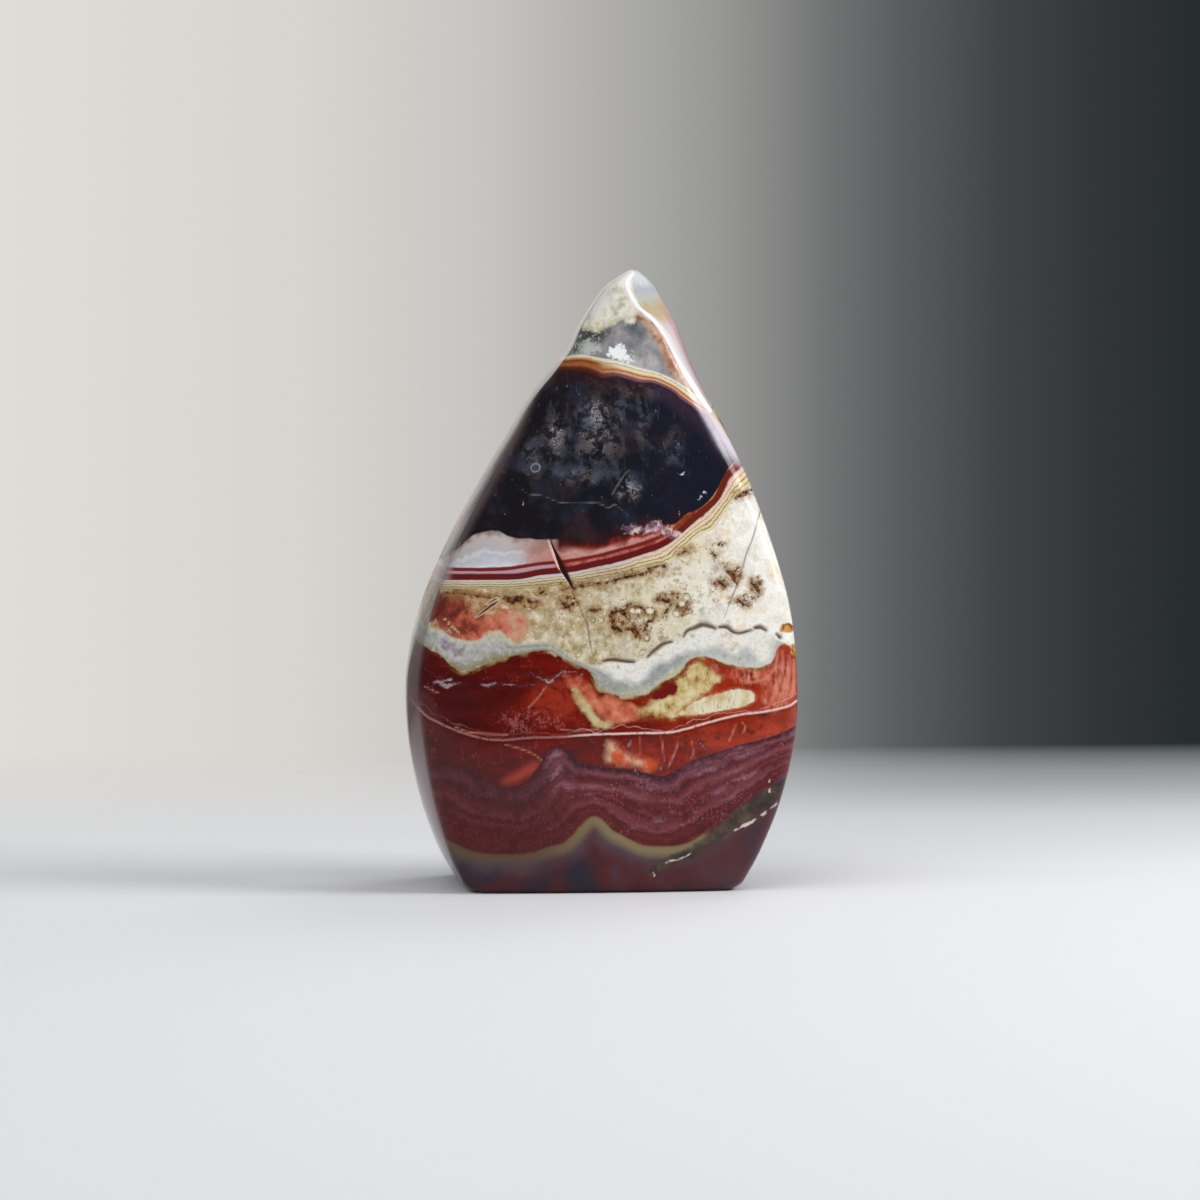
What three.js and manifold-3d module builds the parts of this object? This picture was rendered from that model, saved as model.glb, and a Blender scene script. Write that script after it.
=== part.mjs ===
// A polished crazy lace agate teardrop: one solid stone, ground to a flame outline with a
// flat cut base, two broad faces, a narrow wall all round and a slanted facet at the tip.
// A crack, the fissures of the crust and a few pits are sunk into the front face.
// Millimetres, +Z up. The origin is the middle of the base, and the front face looks along -Y.
import * as THREE from "three";
import { mergeVertices } from "three/addons/utils/BufferGeometryUtils.js";
import Module from "manifold-3d";

// Driving dimensions
const HEIGHT = 80;
const BASE_ROUNDING = 1.3;
const TIP_ROUNDING = 2.8;
const FACE_DOME = 1.1;
// Half width from which the faces have their full dome
const FULL_DOME_WIDTH = 20;

// The four corner lines of the stone, each as [height, x]: where the faces meet the walls
const FRONT_LEFT = [
  [0, -17.9], [5, -20.0], [12, -21.8], [20, -23.3], [28, -23.9], [36, -22.4], [44, -19.2],
  [52, -14.9], [60, -10.3], [64, -8.1], [67, -5.7], [70, -3.6], [73, -2.3], [77, 0.1], [80, 2.7],
];
const FRONT_RIGHT = [
  [0, 17.1], [5, 19.8], [12, 22.5], [20, 24.3], [28, 24.5], [36, 23.8], [44, 21.7], [52, 18.9],
  [59, 15.5], [64, 12.4], [69, 9.3], [73, 7.1], [75.3, 5.0], [77, 3.8], [80, 4.2],
];
const BACK_RIGHT = [
  [0, 16.3], [5, 19.2], [12, 21.9], [20, 23.7], [28, 23.9], [36, 23.3], [44, 21.5], [52, 19.3],
  [57, 17.7], [60, 16.6], [62, 15.8], [64, 14.7], [69, 12.1], [73, 10.4], [77, 8.4], [80, 6.6],
];
const BACK_LEFT = [
  [0, -17.9], [5, -20.0], [12, -21.8], [20, -23.3], [28, -23.9], [36, -22.4], [44, -19.2],
  [52, -14.9], [60, -10.3], [64, -7.9], [67, -5.4], [70, -3.2], [73, -1.8], [77, 0.8], [80, 3.5],
];
// Half the thickness, the rounding of the corner lines and the swell of the walls, as [height, size]
const HALF_THICKNESS = [
  [0, 12.0], [10, 12.7], [22, 12.9], [36, 12.1], [50, 9.9], [64, 7.2], [74, 5.2], [80, 3.9],
];
const SOFT_ROUNDING = [[0, 2.2], [20, 1.9], [45, 1.6], [65, 1.3], [80, 0.9]];
const RIDGE_ROUNDING = [
  [0, 1.8], [20, 1.5], [40, 1.5], [48, 2.0], [55, 2.8], [62, 2.8], [68, 1.8], [73, 0.8], [80, 0.5],
];
const LEFT_SWELL = [
  [0, 0.2], [5, 0.9], [12, 1.6], [20, 1.5], [28, 0.9], [36, 0.1], [44, 0.1], [52, 0.3], [80, 0.3],
];
const RIGHT_SWELL = [[0, 0.7], [80, 0.5]];

// Grooves in the front face, each a line of [x, height, half width]
const OPEN_CRACK = [
  [-7.4, 45.7, 0.06], [-6.9, 44.6, 0.14], [-6.5, 43.5, 0.24], [-6.0, 42.5, 0.34],
  [-5.7, 41.7, 0.38], [-5.3, 40.9, 0.32], [-4.9, 40.3, 0.24], [-4.5, 39.3, 0.12],
];
const THIN_CRACKS = [
  [[-4.7, 39.2, 0.08], [-4.0, 37.4, 0.12], [-3.3, 35.9, 0.12], [-2.7, 34.6, 0.2], [-2.4, 32.6, 0.13],
    [-2.1, 30.7, 0.08]],
  [[20.4, 48.8, 0.08], [19.5, 47.2, 0.12], [18.9, 45.3, 0.12], [18.0, 43.3, 0.12], [17.3, 41.2, 0.1],
    [16.5, 38.9, 0.12], [15.6, 37.1, 0.1], [15.0, 35.4, 0.07]],
];
const CRUST_FISSURES = [
  [[-0.8, 30.0, 0.1], [0.4, 30.2, 0.21], [2.1, 29.9, 0.22], [3.2, 29.8, 0.12]],
  [[5.0, 30.4, 0.12], [5.9, 31.3, 0.21], [7.0, 32.1, 0.22], [8.2, 32.4, 0.12]],
  [[9.7, 33.0, 0.1], [10.2, 33.7, 0.19], [11.2, 34.1, 0.25], [12.2, 34.5, 0.26], [13.2, 34.3, 0.25],
    [13.9, 34.0, 0.12]],
  [[14.4, 34.2, 0.12], [15.3, 34.2, 0.23], [16.0, 33.7, 0.21], [16.8, 33.4, 0.16], [17.8, 33.6, 0.17],
    [18.5, 33.8, 0.1]],
  [[19.0, 34.0, 0.12], [19.8, 34.1, 0.26], [20.5, 33.7, 0.14]],
  [[21.4, 33.6, 0.1], [21.9, 33.2, 0.2], [22.3, 32.8, 0.14]],
];
// How deep a groove is for each millimetre of half width, and how far its cutter stands proud
const GROOVE_DEPTH = 1.7;
const GROOVE_PROUD = 0.3;

// Pits in the front face as [x, height, radius], and their depth as a share of the radius
const PITS = [
  [-12.0, 37.8, 0.6], [-5.5, 37.0, 0.45], [-9.6, 37.5, 0.4], [0.6, 35.4, 0.5], [1.6, 36.4, 0.5],
  [3.4, 33.8, 0.5], [2.9, 37.1, 0.35], [7.4, 36.9, 0.4], [16.2, 40.5, 0.5], [19.2, 39.2, 0.45],
  [17.6, 37.1, 0.45], [1.5, 40.4, 0.35], [-4.4, 39.4, 0.3], [18.2, 51.2, 0.35], [17.8, 8.7, 0.35],
  [20.2, 10.1, 0.3], [20.9, 13.1, 0.3], [-21.2, 37.8, 0.6],
];
const PIT_DEPTH = 0.45;
const PIT_SEGMENTS = 10;
const PIT_RINGS = 6;
// How far in front of the stone the search for its face begins
const CLEAR_OF_FACE = 40;

// How finely the sections and heights are divided
const FRONT_STEPS = 14;
const WALL_STEPS = 6;
const BACK_STEPS = 10;
const CORNER_STEPS = 4;
const BODY_LEVELS = 46;
const BASE_LEVELS = 4;
const TIP_LEVELS = 7;

// The value of a line of knots at a height, on a smooth curve through them
function along(knots, z) {
  const last = knots.length - 1;
  let i = 0;
  while (i < last - 1 && z > knots[i + 1][0]) i += 1;
  const slope = (k) => {
    const [za, va] = knots[Math.max(k - 1, 0)];
    const [zb, vb] = knots[Math.min(k + 1, last)];
    return (vb - va) / (zb - za);
  };
  const [z0, v0] = knots[i];
  const [z1, v1] = knots[i + 1];
  const span = z1 - z0;
  const t = (z - z0) / span;
  const risen = t * t * (3 - 2 * t);
  return (
    v0 * (1 - risen) +
    v1 * risen +
    span * slope(i) * t * (1 - t) * (1 - t) -
    span * slope(i + 1) * t * t * (1 - t)
  );
}

// The height of every level: close together in the roundings of the base and the tip
function levels() {
  const heights = [];
  for (let i = 0; i < BASE_LEVELS; i += 1) {
    heights.push(BASE_ROUNDING * (1 - Math.cos((Math.PI / 2) * (i / BASE_LEVELS))));
  }
  const shoulder = HEIGHT - TIP_ROUNDING;
  for (let i = 0; i <= BODY_LEVELS; i += 1) {
    heights.push(BASE_ROUNDING + (shoulder - BASE_ROUNDING) * (i / BODY_LEVELS));
  }
  for (let i = 1; i < TIP_LEVELS; i += 1) {
    heights.push(shoulder + TIP_ROUNDING * Math.sin((Math.PI / 2) * (i / TIP_LEVELS)));
  }
  return heights;
}

// How much a section is drawn in at a height, as an inset in the base and a share in the tip
function drawnIn(z) {
  const below = Math.max(0, BASE_ROUNDING - z);
  const above = Math.max(0, z - (HEIGHT - TIP_ROUNDING)) / TIP_ROUNDING;
  return {
    inset: BASE_ROUNDING - Math.sqrt(BASE_ROUNDING ** 2 - below ** 2),
    share: Math.sqrt(1 - above ** 2),
  };
}

// One level section, counterclockwise from above: a four-sided outline with rounded corners
function section(z) {
  const { inset, share } = drawnIn(z);
  const half = along(HALF_THICKNESS, z) - inset;
  const soft = along(SOFT_ROUNDING, z);
  const ridge = along(RIDGE_ROUNDING, z);
  const corners = [
    { at: new THREE.Vector2(along(FRONT_LEFT, z) + inset, -half), radius: soft },
    { at: new THREE.Vector2(along(FRONT_RIGHT, z) - inset, -half), radius: ridge },
    { at: new THREE.Vector2(along(BACK_RIGHT, z) - inset, half), radius: soft },
    { at: new THREE.Vector2(along(BACK_LEFT, z) + inset, half), radius: soft },
  ];
  const steps = [FRONT_STEPS, WALL_STEPS, BACK_STEPS, WALL_STEPS];
  const count = corners.length;
  const ways = corners.map((corner, i) =>
    corners[(i + 1) % count].at.clone().sub(corner.at).normalize(),
  );
  const arcs = corners.map((corner, i) => {
    const into = ways[(i + count - 1) % count];
    const turn = Math.acos(THREE.MathUtils.clamp(into.dot(ways[i]), -1, 1));
    const start = corner.at.clone().addScaledVector(into, -corner.radius * Math.tan(turn / 2));
    const inward = new THREE.Vector2(-into.y, into.x);
    const centre = start.clone().addScaledVector(inward, corner.radius);
    const arc = [];
    for (let k = 0; k <= CORNER_STEPS; k += 1) {
      arc.push(start.clone().rotateAround(centre, turn * (k / CORNER_STEPS)));
    }
    return arc;
  });
  const outline = [];
  arcs.forEach((arc, i) => {
    outline.push(...arc);
    const from = arc[CORNER_STEPS];
    const to = arcs[(i + 1) % count][0];
    for (let k = 1; k < steps[i]; k += 1) {
      outline.push(from.clone().lerp(to, k / steps[i]));
    }
  });
  const swell = { left: along(LEFT_SWELL, z), right: along(RIGHT_SWELL, z) };
  return domed(outline, half, share, swell).map((p) => new THREE.Vector3(p.x, p.y, z));
}

// The faces and walls swell a little towards their middles, and the tip closes to a point
function domed(outline, half, share, swell) {
  const box = new THREE.Box2().setFromPoints(outline);
  const middle = box.getCenter(new THREE.Vector2());
  const wide = (box.max.x - box.min.x) / 2;
  const dome = Math.min(FACE_DOME, FACE_DOME * (wide / FULL_DOME_WIDTH)) / half;
  return outline.map((p) => {
    const across = (p.x - middle.x) / wide;
    const through = p.y / half;
    const belly = (across < 0 ? swell.left : swell.right) / wide;
    return new THREE.Vector2(
      middle.x + (p.x - middle.x) * (1 + belly * (1 - through * through)) * share,
      p.y * (1 + dome * (1 - across * across)) * share,
    );
  });
}

// The closed surface through all the level sections, with a flat base
function stoneGeometry() {
  const rings = levels().map(section);
  const around = rings[0].length;
  const points = rings.flat();
  const faces = [];
  for (let level = 0; level < rings.length - 1; level += 1) {
    for (let k = 0; k < around; k += 1) {
      const a = level * around + k;
      const b = level * around + ((k + 1) % around);
      faces.push(a, b, b + around, a, b + around, a + around);
    }
  }
  const base = points.length;
  points.push(new THREE.Vector3(0, 0, 0));
  const tip = points.length;
  const top = new THREE.Box3().setFromPoints(rings[rings.length - 1]).getCenter(new THREE.Vector3());
  points.push(new THREE.Vector3(top.x, top.y, HEIGHT));
  const lastRing = (rings.length - 1) * around;
  for (let k = 0; k < around; k += 1) {
    const next = (k + 1) % around;
    faces.push(base, next, k);
    faces.push(tip, lastRing + k, lastRing + next);
  }
  const geometry = new THREE.BufferGeometry().setFromPoints(points);
  geometry.setIndex(faces);
  return geometry;
}

// Puts the middle of the stone's width and thickness over the origin
function centred(geometry) {
  geometry.computeBoundingBox();
  const middle = geometry.boundingBox.getCenter(new THREE.Vector3());
  return geometry.translate(-middle.x, -middle.y, 0);
}

// The y of the front face at a place
function faceAt(skin, x, z) {
  const ray = new THREE.Raycaster(new THREE.Vector3(x, -CLEAR_OF_FACE, z), new THREE.Vector3(0, 1, 0));
  return ray.intersectObject(skin)[0].point.y;
}

// A long wedge that cuts a groove along a line, sharp at the bottom
function grooveCutter(skin, line) {
  const places = line.map(([x, z]) => new THREE.Vector2(x, z));
  const points = [];
  line.forEach(([x, z, halfWidth], i) => {
    const before = places[Math.max(i - 1, 0)];
    const after = places[Math.min(i + 1, places.length - 1)];
    const ahead = after.clone().sub(before).normalize();
    const depth = halfWidth * GROOVE_DEPTH;
    const reach = halfWidth * (1 + GROOVE_PROUD / depth);
    const y = faceAt(skin, x, z);
    points.push(
      new THREE.Vector3(x - ahead.y * reach, y - GROOVE_PROUD, z + ahead.x * reach),
      new THREE.Vector3(x + ahead.y * reach, y - GROOVE_PROUD, z - ahead.x * reach),
      new THREE.Vector3(x, y + depth, z),
    );
  });
  const faces = [0, 1, 2];
  const last = points.length - 3;
  faces.push(last, last + 2, last + 1);
  for (let i = 0; i < last; i += 3) {
    for (let side = 0; side < 3; side += 1) {
      const a = i + side;
      const b = i + ((side + 1) % 3);
      faces.push(a, a + 3, b, b, a + 3, b + 3);
    }
  }
  const geometry = new THREE.BufferGeometry().setFromPoints(points);
  geometry.setIndex(faces);
  return geometry;
}

// A flattened ball that cuts a shallow round pit
function pitCutter(skin, [x, z, radius]) {
  const ball = new THREE.SphereGeometry(1, PIT_SEGMENTS, PIT_RINGS);
  ball.scale(radius, radius * PIT_DEPTH, radius);
  ball.translate(x, faceAt(skin, x, z), z);
  return ball;
}

// The volume a closed geometry holds, negative where its faces look inward
function volumeOf(geometry) {
  const at = (i) => new THREE.Vector3().fromBufferAttribute(geometry.attributes.position, i);
  const { array } = geometry.index;
  let volume = 0;
  for (let i = 0; i < array.length; i += 3) {
    volume += at(array[i]).dot(at(array[i + 1]).cross(at(array[i + 2]))) / 6;
  }
  return volume;
}

// A geometry as a solid that can be cut, with its faces turned outward
function solidOf(wasm, geometry) {
  const bare = geometry.clone();
  bare.deleteAttribute("normal");
  bare.deleteAttribute("uv");
  const merged = mergeVertices(bare);
  const triVerts = new Uint32Array(merged.index.array);
  if (volumeOf(merged) < 0) triVerts.reverse();
  const vertProperties = new Float32Array(merged.attributes.position.array);
  return new wasm.Manifold(new wasm.Mesh({ numProp: 3, vertProperties, triVerts }));
}

// The stone with every groove and pit taken out of its front face
async function cutStone() {
  const wasm = await Module();
  wasm.setup();
  const whole = centred(stoneGeometry());
  const skin = new THREE.Mesh(whole);
  const grooves = [OPEN_CRACK, ...THIN_CRACKS, ...CRUST_FISSURES].map((l) => grooveCutter(skin, l));
  const pits = PITS.map((pit) => pitCutter(skin, pit));
  let solid = solidOf(wasm, whole);
  [...grooves, ...pits].forEach((cutter) => {
    solid = solid.subtract(solidOf(wasm, cutter));
  });
  const { vertProperties, triVerts } = solid.getMesh();
  const geometry = new THREE.BufferGeometry();
  geometry.setAttribute("position", new THREE.BufferAttribute(vertProperties, 3));
  geometry.setIndex(new THREE.BufferAttribute(triVerts, 1));
  geometry.computeVertexNormals();
  return geometry;
}

const stone = new THREE.Mesh(
  await cutStone(),
  new THREE.MeshStandardMaterial({ color: 0x7a2a22, roughness: 0.12, metalness: 0 }),
);
stone.name = "agate_stone";

const teardrop = new THREE.Group();
teardrop.add(stone);

export default teardrop;
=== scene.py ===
import math

import bmesh
import bpy
import numpy as np
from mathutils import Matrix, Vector


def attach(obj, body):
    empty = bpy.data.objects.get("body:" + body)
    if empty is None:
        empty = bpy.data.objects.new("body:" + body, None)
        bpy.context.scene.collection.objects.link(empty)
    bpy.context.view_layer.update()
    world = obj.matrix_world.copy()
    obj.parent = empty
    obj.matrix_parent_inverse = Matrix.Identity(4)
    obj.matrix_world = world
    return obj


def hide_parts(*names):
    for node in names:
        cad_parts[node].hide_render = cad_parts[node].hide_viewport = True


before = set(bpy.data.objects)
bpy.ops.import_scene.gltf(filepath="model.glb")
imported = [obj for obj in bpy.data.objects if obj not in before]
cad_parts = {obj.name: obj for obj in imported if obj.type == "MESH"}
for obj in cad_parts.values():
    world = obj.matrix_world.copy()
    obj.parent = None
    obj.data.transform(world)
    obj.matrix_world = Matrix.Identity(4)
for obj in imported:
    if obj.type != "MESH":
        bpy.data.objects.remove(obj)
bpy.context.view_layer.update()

mm = 0.001


# The camera, level with the stone and a little to its left
cameraSetup = {
    "azimuth": -6.0,          # degrees round the stone, 0 looks along +Y
    "elevation": 3.4,         # degrees above the floor
    "distance": 0.75,         # metres
    "lens": 172.6,            # millimetres on a 36 mm sensor
    "aim": (0.32, 0.0, 37.0),  # millimetres, the point in the middle of the picture
    "sensor": 36.0,
    "farthest": 20,           # metres that it sees
}

# The drawing of the markings lies in the picture plane, in millimetres from the middle of the base
drawingSetup = {
    "scale": 7.74,            # picture points to a millimetre
    "origin": (602.0, 889.5),  # picture point of the middle of the base line
    "side": 1200,             # the picture's width and height
}


def cameraAxes():
    a = math.radians(cameraSetup["azimuth"])
    e = math.radians(cameraSetup["elevation"])
    back = Vector((math.sin(a) * math.cos(e), -math.cos(a) * math.cos(e), math.sin(e)))
    right = Vector((math.cos(a), math.sin(a), 0.0))
    return right, back.cross(right), back


def makeCamera():
    right, up, back = cameraAxes()
    lens = bpy.data.cameras.new("camera")
    lens.lens = cameraSetup["lens"]
    lens.sensor_width = cameraSetup["sensor"]
    lens.clip_end = cameraSetup["farthest"]
    camera = bpy.data.objects.new("camera", lens)
    bpy.context.scene.collection.objects.link(camera)
    camera.location = Vector(cameraSetup["aim"]) * mm + back * cameraSetup["distance"]
    camera.rotation_mode = "QUATERNION"
    camera.rotation_quaternion = (-back).to_track_quat("-Z", "Y")
    bpy.context.scene.camera = camera
    print("camera: in place")


makeCamera()


# The stone's shape in millimetres: corner lines as (height, x). It is as in the solid, but for a fuller edge at
# the back right of the tip and a softer corner at the front left.
stoneShape = {
    "height": 80.0,
    "baseRounding": 1.3,
    "tipRounding": 2.8,
    "faceDome": 1.1,
    "fullDomeFrom": 20,       # half width from which the faces have their whole dome
    "leftDome": [
        (0, 0.2), (5, 0.9), (12, 1.6), (20, 1.5), (28, 0.9), (36, 0.1), (44, 0.1), (52, 0.3), (80, 0.3),
    ],
    "rightDome": [(0, 0.7), (80, 0.5)],
    "frontLeft": [
        (0, -17.9), (5, -20.0), (12, -21.8), (20, -23.3), (28, -23.9), (36, -22.4), (44, -19.2),
        (52, -14.9), (60, -10.3), (64, -8.1), (67, -5.7), (70, -3.6), (73, -2.3), (77, 0.1), (80, 2.7),
    ],
    "frontRight": [
        (0, 17.1), (5, 19.8), (12, 22.5), (20, 24.3), (28, 24.5), (36, 23.8), (44, 21.7), (52, 18.9),
        (59, 15.5), (64, 12.4), (69, 9.3), (73, 7.1), (75.3, 5.0), (77, 3.8), (80, 4.2),
    ],
    "backRight": [
        (0, 16.3), (5, 19.2), (12, 21.9), (20, 23.7), (28, 23.9), (36, 23.3), (44, 21.5), (52, 19.3),
        (57, 17.7), (60, 16.6), (62, 15.7), (64, 14.5), (69, 12.4), (73, 10.85), (77, 8.7), (80, 6.7),
    ],
    "backLeft": [
        (0, -17.9), (5, -20.0), (12, -21.8), (20, -23.3), (28, -23.9), (36, -22.4), (44, -19.2),
        (52, -14.9), (60, -10.3), (64, -7.9), (67, -5.4), (70, -3.2), (73, -1.8), (77, 0.8), (80, 3.5),
    ],
    "halfThickness": [
        (0, 12.0), (10, 12.7), (22, 12.9), (36, 12.1), (50, 9.9), (64, 7.2), (74, 5.2), (80, 3.9),
    ],
    "softRounding": [(0, 2.2), (20, 1.9), (45, 1.6), (65, 1.3), (80, 0.9)],
    "leftRounding": [(0, 2.2), (20, 2.3), (34, 2.8), (46, 3.9), (56, 3.9), (65, 2.6), (73, 1.4), (80, 0.9)],
    "ridgeRounding": [
        (0, 1.8), (20, 1.5), (40, 1.5), (48, 2.0), (55, 2.8), (62, 2.8), (68, 1.8), (73, 0.8), (80, 0.5),
    ],
}

# How finely the stone is meshed
meshFineness = {
    "front": 116,
    "wall": 22,
    "back": 70,
    "corner": 7,
    "body": 236,
    "base": 5,
    "tip": 12,
}


def alongKnots(knots, at):
    # a smooth curve through the knots, at every given place
    places, values = np.array(knots, float).T
    last = len(places) - 1
    at = np.clip(np.asarray(at, float), places[0], places[-1])
    before = np.maximum(np.arange(last + 1) - 1, 0)
    after = np.minimum(np.arange(last + 1) + 1, last)
    slopes = (values[after] - values[before]) / (places[after] - places[before])
    i = np.clip(np.searchsorted(places, at, side="left") - 1, 0, last - 1)
    span = places[i + 1] - places[i]
    t = (at - places[i]) / span
    risen = t * t * (3 - 2 * t)
    return (
        values[i] * (1 - risen) + values[i + 1] * risen
        + span * slopes[i] * t * (1 - t) ** 2 - span * slopes[i + 1] * t * t * (1 - t)
    )


def stoneLevels():
    low, high = stoneShape["baseRounding"], stoneShape["height"] - stoneShape["tipRounding"]
    base = low * (1 - np.cos(np.linspace(0, math.pi / 2, meshFineness["base"] + 1)))
    body = np.linspace(low, high, meshFineness["body"] + 1)
    tip = high + stoneShape["tipRounding"] * np.sin(np.linspace(0, math.pi / 2, meshFineness["tip"] + 1))
    return np.concatenate([base[:-1], body, tip[1:-1]])


def stoneSections(z):
    # every level's outline, counterclockwise from above, as an array of levels by points by (x, y)
    below = np.maximum(0, stoneShape["baseRounding"] - z)
    above = np.maximum(0, z - stoneShape["height"] + stoneShape["tipRounding"]) / stoneShape["tipRounding"]
    inset = stoneShape["baseRounding"] - np.sqrt(stoneShape["baseRounding"] ** 2 - below ** 2)
    share = np.sqrt(1 - above ** 2)[:, None]
    half = alongKnots(stoneShape["halfThickness"], z) - inset
    soft = alongKnots(stoneShape["softRounding"], z)
    ridge = alongKnots(stoneShape["ridgeRounding"], z)
    corners = [
        np.stack([alongKnots(stoneShape["frontLeft"], z) + inset, -half], 1),
        np.stack([alongKnots(stoneShape["frontRight"], z) - inset, -half], 1),
        np.stack([alongKnots(stoneShape["backRight"], z) - inset, half], 1),
        np.stack([alongKnots(stoneShape["backLeft"], z) + inset, half], 1),
    ]
    radii = [alongKnots(stoneShape["leftRounding"], z), ridge, soft, soft]
    steps = [meshFineness["front"], meshFineness["wall"], meshFineness["back"], meshFineness["wall"]]
    ways = [corners[(i + 1) % 4] - corners[i] for i in range(4)]
    ways = [w / np.linalg.norm(w, axis=1, keepdims=True) for w in ways]
    arcs = []
    for i in range(4):
        into, out = ways[i - 1], ways[i]
        turn = np.arccos(np.clip((into * out).sum(1), -1, 1))
        start = corners[i] - into * (radii[i] * np.tan(turn / 2))[:, None]
        inward = np.stack([-into[:, 1], into[:, 0]], 1)
        centre = start + inward * radii[i][:, None]
        arm = start - centre
        arc = []
        for k in range(meshFineness["corner"] + 1):
            swing = turn * k / meshFineness["corner"]
            c, s = np.cos(swing), np.sin(swing)
            arc.append(centre + np.stack([arm[:, 0] * c - arm[:, 1] * s, arm[:, 0] * s + arm[:, 1] * c], 1))
        arcs.append(arc)
    outline = []
    for i in range(4):
        outline += arcs[i]
        start, end = arcs[i][-1], arcs[(i + 1) % 4][0]
        outline += [start + (end - start) * k / steps[i] for k in range(1, steps[i])]
    outline = np.stack(outline, 1)
    x, y = outline[..., 0], outline[..., 1]
    middle = (x.max(1, keepdims=True) + x.min(1, keepdims=True)) / 2
    wide = (x.max(1, keepdims=True) - x.min(1, keepdims=True)) / 2
    half = half[:, None]
    dome = stoneShape["faceDome"] * np.minimum(1, wide / stoneShape["fullDomeFrom"]) / half
    across, through = (x - middle) / wide, y / half
    left = alongKnots(stoneShape["leftDome"], z)[:, None] / wide
    right = alongKnots(stoneShape["rightDome"], z)[:, None] / wide
    belly = np.where(across < 0, left, right)
    return np.stack([
        middle + (x - middle) * (1 + belly * (1 - through ** 2)) * share,
        y * (1 + dome * (1 - across ** 2)) * share,
    ], 2)


def stoneMesh():
    # the closed skin through all the levels, in millimetres
    z = stoneLevels()
    outline = stoneSections(z)
    levels, around = outline.shape[:2]
    points = np.concatenate([outline, np.repeat(z[:, None, None], around, 1)], 2).reshape(-1, 3)
    tipMiddle = (outline[-1].max(0) + outline[-1].min(0)) / 2
    points = np.vstack([points, [[0, 0, 0], [*tipMiddle, stoneShape["height"]]]])
    level, k = np.meshgrid(np.arange(levels - 1), np.arange(around), indexing="ij")
    a = (level * around + k).ravel()
    b = (level * around + (k + 1) % around).ravel()
    quads = np.stack([a, b, b + around, a + around], 1).tolist()
    base, tip, lastRing = len(points) - 2, len(points) - 1, (levels - 1) * around
    for k in range(around):
        following = (k + 1) % around
        quads.append((base, following, k))
        quads.append((tip, lastRing + k, lastRing + following))
    middle = (points.max(0) + points.min(0)) / 2
    return points - [middle[0], middle[1], 0], quads


def frontDepth(points):
    # how far each point lies behind the front face, in millimetres
    return np.maximum(0, points[:, 1] + alongKnots(stoneShape["halfThickness"], points[:, 2]))


# How the layers drift on their way to the back, in millimetres
driftSetup = {
    "from": 3,
    "over": 22,
    "sideways": 2.4,
    "sidewaysLength": 11,
    "sidewaysStart": 0.6,
    "left": 1.0,
    "rise": 1.9,
    "riseLength": 6.5,
    "riseStart": 2.0,
    "fineRise": 0.9,
    "fineLength": 2.7,
    "slant": 9,
}


def drawingPlace(points):
    # where each point falls in the drawing: across and up. Behind the front the layers drift a little.
    right, up, back = (np.array(v) for v in cameraAxes())
    eye = np.array(cameraSetup["aim"]) + back * cameraSetup["distance"] / mm
    sight = points - eye
    depth = -(sight @ back)
    focal = drawingSetup["side"] * cameraSetup["lens"] / cameraSetup["sensor"]
    half = drawingSetup["side"] / 2
    pictureX = half + focal * (sight @ right) / depth
    pictureY = half - focal * (sight @ up) / depth
    across = (pictureX - drawingSetup["origin"][0]) / drawingSetup["scale"]
    high = (drawingSetup["origin"][1] - pictureY) / drawingSetup["scale"]
    inward = frontDepth(points)
    far = np.clip((inward - driftSetup["from"]) / driftSetup["over"], 0, 1)
    far = far * far * (3 - 2 * far)
    sway = np.sin(high / driftSetup["sidewaysLength"] + driftSetup["sidewaysStart"])
    across = across + far * (driftSetup["sideways"] * sway - driftSetup["left"])
    swell = np.sin(across / driftSetup["riseLength"] + driftSetup["riseStart"])
    ripple = np.sin(across / driftSetup["fineLength"] + high / driftSetup["slant"])
    return across, high + far * (driftSetup["rise"] * swell + driftSetup["fineRise"] * ripple), inward


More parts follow.
